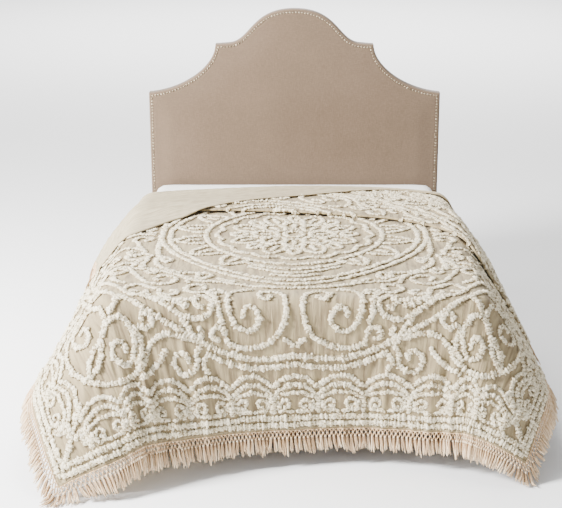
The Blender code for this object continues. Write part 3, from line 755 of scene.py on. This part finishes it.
# along one half of a side: how far from its middle, and how far down from the bed's edge
edgeStrokes = (
    ((0.172, -0.12), (0.246, -0.094), (0.284, -0.015), (0.276, 0.06), (0.202, 0.05, 0.068, 35, -0.95)),
    ((0.114, -0.046, 0.044, -100, -0.85), (0.062, -0.072), (0.036, -0.005), (0.046, 0.08),
     (0.094, 0.146), (0.168, 0.178), (0.25, 0.178), (0.296, 0.16), (0.345, 0.128, 0.04, 165, -0.9)),
    ((0.004, 0.178), (0.024, 0.158), (0.052, 0.142)),
    ((0.428, 0.112, 0.026, 20, -0.74), (0.47, 0.088), (0.5, 0.062)),
    ((0.56, -0.06), (0.52, -0.01), (0.452, 0.012)),
    ((0.7, -0.085), (0.61, -0.03), (0.54, 0.014), (0.47, 0.056), (0.4, 0.056),
     (0.398, -0.002, 0.05, 120, -1.04)),
    ((0.312, 0.086), (0.33, 0.03), (0.334, -0.03), (0.318, -0.082, 0.04, 50, 0.85)),
    ((0.505, 0.228, 0.064, 200, 1.15), (0.42, 0.166), (0.49, 0.134), (0.575, 0.122), (0.642, 0.156),
     (0.69, 0.216), (0.76, 0.262), (0.85, 0.278), (0.94, 0.262), (1, 0.226)),
    ((0.8, 0.168, 0.064, 170, 1.11), (0.722, 0.095), (0.772, 0.046), (0.832, 0.06), (0.868, 0.098)),
    ((0.722, 0.095), (0.69, 0.14), (0.7, 0.19), (0.742, 0.236)),
    ((0.65, 0.062, 0.036, 90, -0.89), (0.69, 0.092), (0.712, 0.104)),
    ((0.735, -0.045), (0.77, 0), (0.8, 0.03)),
    ((0.575, 0.176), (0.606, 0.216), (0.662, 0.258), (0.74, 0.288)),
    ((0.392, 0.284), (0.418, 0.246), (0.396, 0.206)),
)
# the long sides have one more scroll in each half, from -0.2 in their very middle
middleStrokes = (
    ((-0.2, -0.045), (-0.166, 0.02), (-0.17, 0.105), (-0.2, 0.16)),
    ((-0.1, 0.072, 0.056, 340, -1.11), (-0.04, 0.12), (-0.09, 0.172), (-0.15, 0.176)),
)
# rows that go on through the middle of a side, each from its middle to its end
framingStrokes = (
    ((0, -0.142), (0.1, -0.15), (0.19, -0.172), (0.27, -0.206)),
    ((0, 0.212), (0.17, 0.228), (0.33, 0.192), (0.47, 0.122), (0.6, 0.05), (0.735, -0.045)),
    ((0, 0.25), (0.17, 0.266), (0.33, 0.23), (0.4, 0.196)),
)
straightStrokes = [((0, depth), (0.65, depth), (1.3, depth)) for depth in (0.476, 0.505)]


def makeArch(k):
    # nested arches with a pair of small scrolls beneath them
    pitch = design["archPitch"]
    t = np.linspace(k * pitch - pitch / 2, k * pitch + pitch / 2, 33)
    rise = (2 * np.abs(t - k * pitch) / pitch) ** 2
    lines = []
    for top, drop, width in ((0.298, 0.052, "borderWidth"), (0.334, 0.052, "borderWidth"),
                             (0.368, 0.030, "fineWidth")):
        lines.append((smoothLine(np.stack([t, top + drop * rise], axis=1)), width))
    for way in (1, -1):
        x = k * pitch + way * 0.044
        pair = drawn((
            ((x, 0.42, 0.026, 90 - way * 60, way * 1.05), (k * pitch + way * 0.004, 0.452)),
            ((x + way * 0.034, 0.402), (x + way * 0.036, 0.428), (x + way * 0.012, 0.454)),
        ))
        lines += [(line, "fineWidth") for line in pair]
    return lines


def makePost(k):
    place = (k + 0.5) * design["archPitch"]
    return smoothLine([(place, 0.385), (place, 0.420), (place, 0.458)])


def onTop(line, sideways, lengthways):
    return line * (sideways, lengthways)


def onFoot(line, sideways, lengthways):
    return onTop(line + (0, design["edge"]), sideways, lengthways)


def onSide(line, sideways, lengthways):
    x, y = design["edge"] - design["skew"] + line[:, 1], design["skew"] + line[:, 0]
    return np.stack([sideways * x, lengthways * y], axis=1)


def upToMitre(line):  # a border line ends on the corner's diagonal
    return line[line[:, 0] <= design["edge"] - design["skew"] + line[:, 1]]


def drawDesign():
    quarters = [(a, b) for a in (1, -1) for b in (1, -1)]
    skew = design["skew"]
    rows = {name: [] for name in ("tuftsMedallion", "tuftsField", "tuftsFootBorder", "tuftsSideBorder")}

    def draw(name, place, line, width="lineWidth", ways=quarters):
        rows[name] += [(place(line, *way), width) for way in ways]

    for line in makeMedallion():
        draw("tuftsMedallion", onTop, line, ways=[(1, 1)])
    for line in drawn(cornerStrokes):
        draw("tuftsField", onTop, line)
    for line in drawn(edgeStrokes):
        for quarter in quarters:
            draw("tuftsField", onFoot, line, ways=[quarter])
            draw("tuftsField", onSide, line, ways=[quarter])
    for line in drawn(middleStrokes):
        draw("tuftsField", onSide, line)
    runs = [(line, "tuftsField", "tuftsField") for line in drawn(framingStrokes)]
    runs += [(upToMitre(line), "tuftsFootBorder", "tuftsSideBorder") for line in drawn(straightStrokes)]
    gap = np.arange(-skew, skew, design["step"])[1:]
    for line, ofFoot, ofSide in runs:
        across = np.concatenate([line[:0:-1] * (-1, 1), line])
        middle = np.stack([gap - skew, 0 * gap + line[0, 1]], axis=1)
        through = np.concatenate([line[::-1] * (-1, 1) - (2 * skew, 0), middle, line])
        for way in (1, -1):
            draw(ofFoot, onFoot, across, ways=[(1, way)])
            draw(ofSide, onSide, through, ways=[(way, 1)])
    # the middle arch is its own mirror image, so it is drawn once; on the long sides that is number -1
    for k in range(-1, 6):
        for line, width in makeArch(k):
            if k >= 0:
                draw("tuftsFootBorder", onFoot, upToMitre(line), width, quarters[:2] if k == 0 else quarters)
            draw("tuftsSideBorder", onSide, upToMitre(line), width, quarters[::2] if k == -1 else quarters)
        post = upToMitre(makePost(k))
        if k >= 0:
            draw("tuftsFootBorder", onFoot, post)
        draw("tuftsSideBorder", onSide, post)
    return rows


def flapEdge(across, along):
    # how far out the side of the head end lies, where it is folded back over the layers below
    outer = np.sign(across) * cloth["width"] / 2
    far, hem = foldsAt(outer)[2:]
    return np.abs(pulledIn(outer, 2.0 + np.clip((far - along) / (far - hem), 0, 1)))


def layOnBed(line):
    # where a drawn line shows: on the lower layer up to the near edge, and on the turned layer behind it
    across = line[:, 0]
    along = cloth["length"] / 2 - line[:, 1] - cloth["footDrop"]
    hidden, near, far, hem = foldsAt(across)
    third = along - 2 * (hidden - near)
    # the flap above a place was drawn in sideways, so it comes from further out on the cloth
    flat = np.linspace(0, cloth["width"] / 2, 131)
    onLeft = -np.interp(-across, -pulledIn(-flat, 3.0), flat)
    above = np.where(across < 0, onLeft, np.interp(across, pulledIn(flat, 3.0), flat))
    pastSide = np.abs(across) > flapEdge(across, along) - design["belowSide"]
    uncovered = (along < foldsAt(above)[3] + design["belowHem"]) | pastSide
    onLower = (along < near + design["belowFold"]) & uncovered
    place = np.abs(pulledIn(across, 1.0 + np.clip((third - near) / (far - near), 0, 1)))
    pastSide = place > flapEdge(across, third) - design["belowSide"]
    uncovered = (third < hem + design["belowTurned"]) | pastSide
    onTurned = (third > near - design["turn"]) & (third < far) & uncovered
    runs = []
    for leg, shown, placed in (("lower", onLower, along), ("third", onTurned, third)):
        marks = np.flatnonzero(np.diff(np.concatenate([[False], shown, [False]]).astype(int)))
        runs += [(leg, across[start:end], placed[start:end])
                 for start, end in zip(marks[::2], marks[1::2]) if end - start > 4]
    return runs


def pointOnLayer(leg, across, along, offset):
    near, far = foldsAt(across)[1:3]
    if leg == "lower":
        offset = offset + rumple(across, along + cloth["footDrop"])
        return raised(across, along, cloth["thickness"] / 2 + offset)
    onTurn = clothPoint(across, "turnNear", np.clip(1 + (along - near) / design["turn"], 0, 1), offset)
    behind = clothPoint(across, "third", np.clip((along - near) / (far - near), 0, 1), offset)
    return np.where((along < near)[:, None], onTurn, behind)


tufts = {
    "lump": 0.0140,  # the length of one tuft, and how unequal the lengths are
    "unequal": (0.6, 1.4),
    "lineWidth": 0.0262,
    "borderWidth": 0.0222,
    "fineWidth": 0.0180,
    "height": 0.0092,
    "lower": 0.86,  # the border's rows are this much lower
    "angles": (-150, -88, -38, 38, 88, 150),  # round the rope, from its top
    "sunk": 0.45,  # how its middle stands to the ground, and its rise, as shares of its height
    "rise": 0.62,
    "plump": 0.12,
    "shift": 0.0018,
    "waist": 0.68,  # thickness between two tufts, and how much more in the middle of one
    "bulge": 0.46,
    "rough": 0.06,
    "fluff": 0.12,
    "onward": 0.0011,
}


def makeTufts(name, rows):
    # each row is a lumpy closed rope, sunk a little into the ground
    angles = np.radians(tufts["angles"])
    sides = len(angles)
    runs = [(run, width) for line, width in rows if len(line) > 4 for run in layOnBed(line)]
    stacked = {}
    for leg in ("lower", "third"):
        chosen = [run for run, width in runs if run[0] == leg]
        if chosen:
            across, along = (np.concatenate([run[part] for run in chosen]) for part in (1, 2))
            low, high = (pointOnLayer(leg, across, along, ground["centre"] + up) for up in (0, 0.01))
            stacked[leg] = [low, unit(high - low), 0]
    points, faces, toneAndPaintedShade, count = [], [], [], 0
    for (leg, across, along), width in runs:
        low, up, used = stacked[leg]
        number = len(across)
        middle, normal = low[used:used + number], up[used:used + number]
        stacked[leg][2] += number
        forward = unit(np.gradient(middle, axis=0))
        aside = unit(np.cross(forward, normal))
        gone = travelled(middle)
        shortest, longest = tufts["unequal"]
        lengths = chance.uniform(shortest, longest, int(gone[-1] / tufts["lump"] / shortest) + 4)
        lengths = tufts["lump"] * lengths
        tuft = np.interp(gone, np.cumsum(lengths) - lengths[0] * 0.99, np.arange(len(lengths)))
        whole = np.floor(tuft).astype(int)
        plump = chance.normal(1, tufts["plump"], whole.max() + 2)[whole]
        shift = chance.normal(0, tufts["shift"], whole.max() + 2)[whole]
        tone = chance.uniform(0, 1, whole.max() + 2)[whole]
        bulge = np.abs(np.sin(math.pi * tuft))
        swell = plump * (tufts["waist"] + tufts["bulge"] * bulge) + chance.normal(0, tufts["rough"], number)
        # the rope tapers over its last two steps at each end
        ends = np.clip(np.minimum(np.arange(number), np.arange(number)[::-1]) / 2, 0, 1)
        half = tufts[width] / 2 * swell * (0.6 + 0.4 * ends)
        lower = 1.0 if width == "lineWidth" else tufts["lower"]
        tall = tufts["height"] * lower * swell * (0.7 + 0.3 * ends)
        ring = []
        for angle in angles:
            fluff = 1 + chance.normal(0, tufts["fluff"], number)
            rise = tufts["sunk"] + tufts["rise"] * math.cos(angle)
            outward = (shift + half * fluff * math.sin(angle))[:, None] * aside
            upward = (tall * fluff * rise)[:, None] * normal
            onward = chance.normal(0, tufts["onward"], number)[:, None] * forward
            ring.append(middle + outward + upward + onward)
        points.append(np.stack(ring, axis=1).reshape(-1, 3))
        # painted shade: this second map value is lower down the rope's sides and between tufts, so the colour
        # is darker there
        rises = tufts["sunk"] + tufts["rise"] * np.cos(angles)
        height = np.clip(rises[None] * (0.55 + 0.45 * bulge)[:, None], 0, 1)
        toneAndPaintedShade.append(np.stack([np.repeat(tone[:, None], sides, axis=1), height], axis=-1).reshape(-1, 2))
        faces += movedOn(tubeFaces(1, number, sides), count)
        count += number * sides
    piece = makePiece(name, np.concatenate(points), faces, chenille, np.concatenate(toneAndPaintedShade))
    print(name, sum(len(face) - 2 for face in faces), "triangles")
    return piece


tuftPieces = [makeTufts(name, rows) for name, rows in drawDesign().items()]
print("design tufted")


# the fringe hangs in the plane of the cloth: a knotted lattice, then tassels of loose strands

fringe = {
    "pitch": 0.019,
    "lattice": (0.002, 0.017, 0.032),  # depths of its rows of knots below the hem
    "tassel": 0.061,
    "uneven": 0.012,
    "strand": 0.0025,
    "latticeStrand": 0.0015,
    "pair": 0.0013,  # each side of a diamond is two yarns, this far from its middle
    "smallKnot": 0.0038,
    "knot": 0.0048,
    "gimp": 0.0028,
    "spread": (-0.0060, -0.0032, 0.0, 0.0032, 0.0060),
    "mitreLength": 0.10,
    "mitreFill": 0.96,
    "swing": np.array([0.05, 0.28, 0.47, 0.28, 0.05]),  # how far a lattice yarn strays, in pitches
    "lean": 0.011,  # neighbouring tassels lean together
    "leanOver": 15,  # over this many of them
    "leanEach": 0.0040,  # and each leans a little by itself, and each strand in it
    "leanStrand": 0.0030,
    "lengthStrand": 0.0040,
    "wavy": 0.0009,
    "lift": 0.0010,  # knots and strands stand this far out from the plane of the cloth
    "liftWavy": 0.0012,
    "crossing": 0.0006,  # half the height at which one lattice yarn passes another
    "backStrand": 0.0030,
    "backSink": -0.0022,
    "backLength": 0.8,
    "backShift": 0.28,
    "twist": 0.006,
    "seam": 0.002,  # sewn to the hem over this depth
}


def bundle(paths, radii, sides):
    # closed tubes along many paths at once: paths (n, m, 3), radii (n, m)
    number, steps = paths.shape[:2]
    forward = unit(np.gradient(paths, axis=1))
    guide = np.eye(3)[np.argmin(np.abs(forward.mean(axis=1)), axis=1)][:, None, :]
    first = unit(np.cross(forward, guide))
    second = np.cross(forward, first)
    turn = 2 * math.pi * np.arange(sides) / sides
    rings = paths[:, :, None] + radii[:, :, None, None] * (
        first[:, :, None] * np.cos(turn)[:, None] + second[:, :, None] * np.sin(turn)[:, None])
    return rings.reshape(-1, 3), tubeFaces(number, steps, sides)


def makeFringe(name, hem, node):
    skirtLength = cloth["footDrop"] + cloth["edgeInset"] - cloth["roll"]
    halfWidth = cloth["width"] / 2
    side = {"left": -1, "right": 1, "foot": 0}[hem]
    points, faces, shades, count = [], [], [], 0

    def fanned(depth, fromCorner):
        share = 1 - np.clip(fromCorner / fringe["mitreLength"], 0, 1)
        return fringe["mitreFill"] * np.maximum(depth - fringe["seam"], 0) * share

    def legLength(leg):
        at = np.array(side * halfWidth)
        return float(flatLength(at, leg, 1.0) - flatLength(at, leg, 0.0))

    def hangingPoint(leg, place, depth, offset):
        place, depth, offset = np.broadcast_arrays(place, depth, offset)
        if hem == "foot":
            fan = fanned(depth, halfWidth - np.abs(place))
            return clothPoint(place + np.sign(place) * fan, "skirt", -depth / skirtLength, offset)
        if leg == "skirt":
            place = place - fanned(depth, np.maximum(place, 0))
        return clothPoint(side * (halfWidth + depth), leg, place / legLength(leg), offset)

    def add(paths, radii, sides, tone, alongTone):
        nonlocal count
        newPoints, newFaces = bundle(paths, radii, sides)
        points.append(newPoints)
        faces.extend(movedOn(newFaces, count))
        tones = [np.broadcast_to(part, radii.shape) for part in (tone[:, None], alongTone)]
        shades.append(np.repeat(np.stack(tones, axis=-1).reshape(-1, 2), sides, axis=0))
        count += len(newPoints)

    stretches = [("skirt", -halfWidth, halfWidth)]
    if hem != "foot":
        stretches = [(leg, 0.0, legLength(leg)) for leg in dict(ground["rows"]) if legLength(leg) > 0.01]
    for leg, start, end in stretches:
        number = max(int(round((end - start) / fringe["pitch"])), 1)
        pitch = (end - start) / number
        at = start + (np.arange(number) + 0.5) * pitch
        # the lattice: yarns part from each place on the hem, meet their neighbours and come back to a tassel
        top, cross, knots = fringe["lattice"]
        depth = np.array([top, (top + cross) / 2, cross, (cross + knots) / 2, knots])
        for way in (1, -1):
            for beside in (1, -1):
                swing = way * pitch * fringe["swing"] + beside * fringe["pair"]
                over = fringe["crossing"] * (way + beside)
                paths = hangingPoint(leg, at[:, None] + swing, depth[None], over)
                radii = np.full(paths.shape[:2], fringe["latticeStrand"])
                add(paths, radii, 4, chance.uniform(0.25, 0.8, number), 0.35)
        # the knots get lighter tones than the yarns: a painted highlight
        small, large = fringe["smallKnot"], fringe["knot"]
        for shift, knotDepth, reach in ((0.0, top, small), (0.5, cross, small), (0.0, knots, large)):
            depth = knotDepth + reach * np.array([-1, -0.4, 0.4, 1])
            paths = hangingPoint(leg, at[:, None] + shift * pitch, depth[None], fringe["lift"])
            radii = np.tile(reach * np.array([0.45, 0.95, 0.95, 0.45]), (number, 1))
            add(paths, radii, 6, chance.uniform(0.5, 1.0, number), 0.7)
        # tassels: loose strands in front, two behind coloured dark as painted shade
        share = np.linspace(0, 1, 6)
        slow = np.cumsum(chance.normal(0, 1, number + 40))
        alike = fringe["leanOver"]
        slow = np.convolve(slow - slow.mean(), np.ones(alike) / alike, mode="valid")[:number]
        lean = fringe["lean"] * np.tanh(slow / 3) + chance.normal(0, fringe["leanEach"], number)
        length = fringe["tassel"] + chance.normal(0, fringe["uneven"] / 2, number)
        for spread in fringe["spread"]:
            phase = chance.uniform(0, 6.28, (number, 1))
            stray = (lean[:, None] + chance.normal(0, fringe["leanStrand"], (number, 1))) * share**1.4
            aside = spread * (0.30 + 0.70 * share) + stray + fringe["wavy"] * np.sin(7 * share + phase)
            depth = knots + (length[:, None] + chance.normal(0, fringe["lengthStrand"], (number, 1))) * share
            out = fringe["liftWavy"] * np.sin(5 * share + phase) + fringe["lift"]
            paths = hangingPoint(leg, at[:, None] + aside, depth, out)
            radii = np.tile(fringe["strand"] * np.array([0.7, 0.95, 1.0, 1.0, 0.9, 0.5]), (number, 1))
            add(paths, radii, 4, chance.uniform(0.05, 1.0, number), 0.1 + 0.9 * share)
        # the strands behind: tone zero gives them the deep colour, painted shade in the gaps between tassels
        share = np.linspace(0, 1, 5)
        for way in (-1, 1):
            depth = knots + length[:, None] * fringe["backLength"] * share
            aside = way * fringe["backShift"] * pitch + lean[:, None] * share**1.4
            paths = hangingPoint(leg, at[:, None] + aside, depth, fringe["backSink"])
            radii = np.tile(fringe["backStrand"] * np.array([0.8, 1, 1, 1, 0.6]), (number, 1))
            add(paths, radii, 3, np.zeros(number), 0.05 + 0 * share)
        # the gimp that joins it to the hem
        along = np.linspace(start, end, int((end - start) / 0.005) + 2)
        paths = hangingPoint(leg, along, 0.0 * along, 0.0004 + 0 * along)[None]
        add(paths, fringe["gimp"] * (1 + 0.12 * wave(along, fringe["twist"]))[None], 5, np.array([0.5]), 0.0)
    piece = makePiece(name, np.concatenate(points), faces, fringeYarn, np.concatenate(shades))
    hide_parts(node)
    print(name, sum(len(face) - 2 for face in faces), "triangles")
    return piece


fringePieces = [makeFringe(*which) for which in (
    ("fringeLeft", "left", "fringe_left"),
    ("fringeFoot", "foot", "fringe_foot"),
    ("fringeRight", "right", "fringe_right"),
)]
print("fringe hung")


# the mattress in its fitted sheet: pulled smooth, with soft folds drawn from its corners

mattress = {
    "corner": 0.07,
    "edge": 0.045,
    "cell": 0.030,
    "pull": 0.0022,  # depth of the folds
    "foldReach": 0.22,  # they fade this far from a corner
    "folds": 14,
    "clear": 0.0006,
}


def makeMattress():
    size = np.array(mattressHigh) - np.array(mattressLow)
    half = size / 2 - mattress["clear"]
    counts = [max(int(round(2 * h / mattress["cell"])), 2) for h in half]
    marks = [np.linspace(-1, 1, n + 1) for n in counts]
    seen, points, faces = {}, [], []

    def corner(key):
        if key not in seen:
            seen[key] = len(points)
            points.append([mark[i] * h for mark, i, h in zip(marks, key, half)])
        return seen[key]

    for axis, u, v in ((2, 0, 1), (1, 0, 2), (0, 1, 2)):
        for end in (0, counts[axis]):
            for i in range(counts[u]):
                for j in range(counts[v]):
                    face = []
                    for key in ((i, j), (i + 1, j), (i + 1, j + 1), (i, j + 1)):
                        face.append(corner((*key[:axis], end, *key[axis:])))
                    faces.append(face[::-1] if (end == 0) != (axis == 1) else face)
    p = np.array(points)
    # round the corners in plan, then the edges above and below
    reach, bend = mattress["corner"], mattress["edge"]
    inner = np.clip(p[:, :2], -(half[:2] - reach), half[:2] - reach)
    away = p[:, :2] - inner
    far = np.abs(away).max(axis=1)
    away *= (far / np.maximum(np.linalg.norm(away, axis=1), 1e-9))[:, None]
    p[:, :2] = inner + away
    outward = unit(away)
    fromEdge = reach - np.linalg.norm(away, axis=1)
    inside = np.maximum(bend - fromEdge, 0)
    upward = np.maximum(np.abs(p[:, 2]) - (half[2] - bend), 0)
    shrink = np.maximum(inside, upward) / np.maximum(np.hypot(inside, upward), 1e-9)
    p[:, :2] -= outward * (inside * (1 - shrink))[:, None]
    p[:, 2] -= np.sign(p[:, 2]) * upward * (1 - shrink)
    # the sheet sinks a little between folds that fan out from each corner, and along its sides
    toCorner = half[:2] - np.abs(p[:, :2])
    angle = np.arctan2(toCorner[:, 0], toCorner[:, 1])
    near = np.exp(-np.hypot(toCorner[:, 0], toCorner[:, 1]) / mattress["foldReach"])
    fold = near * (0.5 + 0.5 * np.sin(mattress["folds"] * angle + 3 * np.sign(p[:, 0]) + 2))
    # and everywhere in slow waves that don't line up
    slow = 0.25 * (1 + np.sin(31 * p[:, 0] + 4 * np.sin(7 * p[:, 1])) * np.sin(23 * p[:, 1] + 2))
    top = eased(p[:, 2] / half[2])
    sides = 1 - top
    p[:, 2] -= mattress["pull"] * (fold + slow) * top
    p[:, :2] -= outward * (sides * mattress["pull"] * (fold + slow))[:, None]
    p += np.array([middleX, footY + size[1] / 2, bedTop - size[2] / 2])
    piece = makePiece("mattressInFittedSheet", p, faces, percale)
    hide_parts("mattress")
    return piece


mattressPiece = makeMattress()
print("mattress made")


# the headboard: a padded panel with a stepped arch, its cover nailed down round the edge

headboard = {
    # right half of the top edge, from shoulder to peak: Bezier stretches of (x, z)
    "top": (((0.800, 1.200), (0.620, 1.215), (0.440, 1.330), (0.430, 1.465)),
            ((0.430, 1.465), (0.407, 1.466), (0.383, 1.468), (0.360, 1.470)),
            ((0.360, 1.470), (0.240, 1.475), (0.240, 1.655), (0.000, 1.655))),
    "lines": (24, 4, 26),
    "half": 0.8,
    "step": 0.4305,  # where the arch leaves the shoulders
    "rounding": 0.013,
    "backRounding": 0.006,
    "setBack": 0.003,  # the cover's edge lies this far behind the solid's face
    "crown": 0.007,  # and its middle stands out this far from there
    "crownStart": 0.03,
    "crownReach": 0.10,
    "nailInset": 0.0175,
    "nailPitch": 0.0165,
    "nailLowest": 0.03,  # above the panel's bottom
    "nailRadius": 0.0058,
    "nailHeight": 0.0036,
    # share of the radius, and rise: metres below the cover at first, then shares of the height
    "nailProfile": ((0.86, -0.0015), (1.0, 0.0002), (0.92, 0.45), (0.66, 0.80), (0.32, 0.97)),
    "groove": 0.0024,  # the row of nails pulls the cover in this far
    "grooveWidth": 0.006,
    "depths": (0, 0.0010, 0.0030, 0.006, 0.0095, 0.013, 0.0175, 0.022, 0.027, 0.036, 0.052, 0.080, 0.12),
}


def headboardOutline():
    right = []
    for points, count in zip(headboard["top"], headboard["lines"]):
        t = np.linspace(0, 1, count, endpoint=False)[:, None]
        p = np.array(points)
        right.append((1 - t)**3 * p[0] + 3 * t * (1 - t)**2 * p[1] + 3 * t * t * (1 - t) * p[2] + t**3 * p[3])
    right = np.concatenate(right + [np.array([headboard["top"][-1][-1]])])
    return np.concatenate([right * (-1, 1), right[-2::-1]])  # from the left shoulder to the right


def distanceToLine(points, line):
    best = np.full(len(points), 9.0)
    for a, b in zip(line[:-1], line[1:]):
        along = np.clip(((points - a) @ (b - a)) / max((b - a) @ (b - a), 1e-12), 0, 1)
        best = np.minimum(best, np.linalg.norm(points - a - along[:, None] * (b - a), axis=1))
    return best


def roundedOff(distance, radius):
    return np.where(distance < radius, radius - np.sqrt(
        np.maximum(radius**2 - (radius - distance) ** 2, 0)), 0.0)


def frontOf(distance, front):
    beside = (distance - headboard["nailInset"]) / headboard["grooveWidth"]
    groove = headboard["groove"] * np.exp(-(beside**2))
    crown = headboard["crown"] * eased((distance - headboard["crownStart"]) / headboard["crownReach"])
    return front + headboard["setBack"] + roundedOff(distance, headboard["rounding"]) + groove - crown


def makeHeadboard():
    low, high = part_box("headboard")
    top = headboardOutline()
    bottom, half, step = low.z, headboard["half"], headboard["step"]
    depths = np.array(headboard["depths"])
    near = depths[1:-1]
    marks = np.concatenate([top[:, 0], near - half, half - near, step - near, near - step,
                            np.linspace(-0.78, 0.78, 53)])
    marks = np.unique(np.round(marks, 4))
    marks = marks[np.concatenate([[True], np.diff(marks) > 0.0009])]
    levels = np.linspace(0, 1, 16)[1:-1]
    rows = []
    for z in np.interp(marks, top[:, 0], top[:, 1]):
        upper, lower = z - depths, bottom + depths[::-1]
        rows.append(np.concatenate([upper, upper[-1] + (lower[0] - upper[-1]) * levels, lower]))
    x = np.repeat(marks, len(rows[0]))
    z = np.concatenate(rows)
    outline = np.concatenate([top, [(half, bottom), (-half, bottom)], top[:1]])
    distance = distanceToLine(np.stack([x, z], axis=1), outline)
    back = high.y - roundedOff(distance, headboard["backRounding"])
    points = np.concatenate([np.stack([x + middleX, y, z], axis=1) for y in (frontOf(distance, low.y), back)])
    over, edge, under = slabFaces(len(marks), len(rows[0]))
    panel = makePiece("headboardPanel", points, np.concatenate([over, under, edge]), upholstery)
    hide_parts("headboard")
    return outline, low.y


def evenPlaces(path, number):  # at equal steps along a path
    gone = travelled(path)
    at = np.linspace(0, gone[-1], number)
    return np.stack([np.interp(at, gone, path[:, 0]), np.interp(at, gone, path[:, 1])], axis=1)


def makeNails(outline, front):
    # one row, all along the top and down both sides
    half, inset = headboard["half"], headboard["nailInset"]
    lowest = outline[-2][1] + headboard["nailLowest"]
    path = evenPlaces(np.concatenate([[(-half, lowest)], outline[:-3], [(half, lowest)]]), 2400)
    forward = unit(np.gradient(path, axis=0))
    path = path + inset * np.stack([forward[:, 1], -forward[:, 0]], axis=1)
    path = path[distanceToLine(path, outline) > inset - 0.0012]  # without the loops at sharp corners
    middle = evenPlaces(path, int(travelled(path)[-1] / headboard["nailPitch"]))
    sides, points, faces = 8, [], []
    surface = frontOf(distanceToLine(middle, outline), front)
    for (x, z), y in zip(middle, surface):
        faces += movedOn(tubeFaces(1, len(headboard["nailProfile"]), sides), len(points))
        turn = 2 * math.pi * (np.arange(sides) + chance.uniform(0, 1)) / sides
        for share, rise in headboard["nailProfile"]:
            lift = rise * headboard["nailHeight"] if rise > 0.01 else rise
            points += [(middleX + x + share * headboard["nailRadius"] * math.cos(a), y - lift,
                        z + share * headboard["nailRadius"] * math.sin(a)) for a in turn]
    return makePiece("headboardNails", points, faces, brass)


makeNails(*makeHeadboard())
print("headboard made")


# the base, legs and struts keep their own shapes

timber = [f"leg_{side}_{end}" for side in ("left", "middle", "right") for end in ("foot", "head")]
for nodeName in ["base", "strut_left", "strut_right"] + timber:
    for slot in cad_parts[nodeName].material_slots:
        slot.material = baseLinen if nodeName == "base" else beech


# the camera looks from the foot of the bed, a little down; "down" is in degrees
camera = {"lens": 83.3, "place": (middleX, footY - 5.04, 2.38), "down": 16.5, "shift": -0.024}
lights = {
    # place, the point it faces, size, watts
    "key": ((-5.0, -2.0, 3.5), (0.1, 0.7, 0.4), 1.6, 1950),
    "fill": ((1.0, -5.4, 3.0), (0.2, 0.4, 0.5), 3.0, 60),
    "top": ((-0.4, 1.2, 4.6), (0.0, 1.0, 0.6), 2.2, 200),
    "backdrop": ((0.0, 15.0, 8.0), (0.0, 17.0, 0.0), 13.0, 4000),
}


def makeStudio():
    data = bpy.data.cameras.new("camera")
    data.lens = camera["lens"]
    data.sensor_width = 36
    data.shift_x = camera["shift"]
    eye = bpy.data.objects.new("camera", data)
    eye.location = camera["place"]
    eye.rotation_euler = (math.radians(90 - camera["down"]), 0, 0)
    bpy.context.scene.collection.objects.link(eye)
    bpy.context.scene.camera = eye
    for name, (place, aim, size, watts) in lights.items():
        lamp = bpy.data.lights.new(name, "AREA")
        lamp.size = size
        lamp.energy = watts
        source = bpy.data.objects.new(name, lamp)
        source.location = place
        source.rotation_euler = (Vector(aim) - Vector(place)).to_track_quat("-Z", "Y").to_euler()
        bpy.context.scene.collection.objects.link(source)
    world = bpy.data.worlds.new("studio")
    world.use_nodes = True
    sky = world.node_tree.nodes["Background"]
    setInputs(world.node_tree, sky, {"Color": toLinear("#FFFFFF"), "Strength": 0.49})
    bpy.context.scene.world = world
    # matt white paper sweep: plain, so that only the shadow shows on it
    floorMaterial, tree, shader = startMaterial("paleFloor")
    setInputs(tree, shader, {"Base Color": toLinear("#FFFFFF"), "Roughness": 0.9})
    mesh = bpy.data.meshes.new("floor")
    mesh.from_pydata([(-30, -30, 0), (30, -30, 0), (30, 30, 0), (-30, 30, 0)], [], [(0, 1, 2, 3)])
    mesh.materials.append(floorMaterial)
    floor = bpy.data.objects.new("floor", mesh)
    bpy.context.scene.collection.objects.link(floor)


makeStudio()
print("studio set")

bpy.context.view_layer.update()
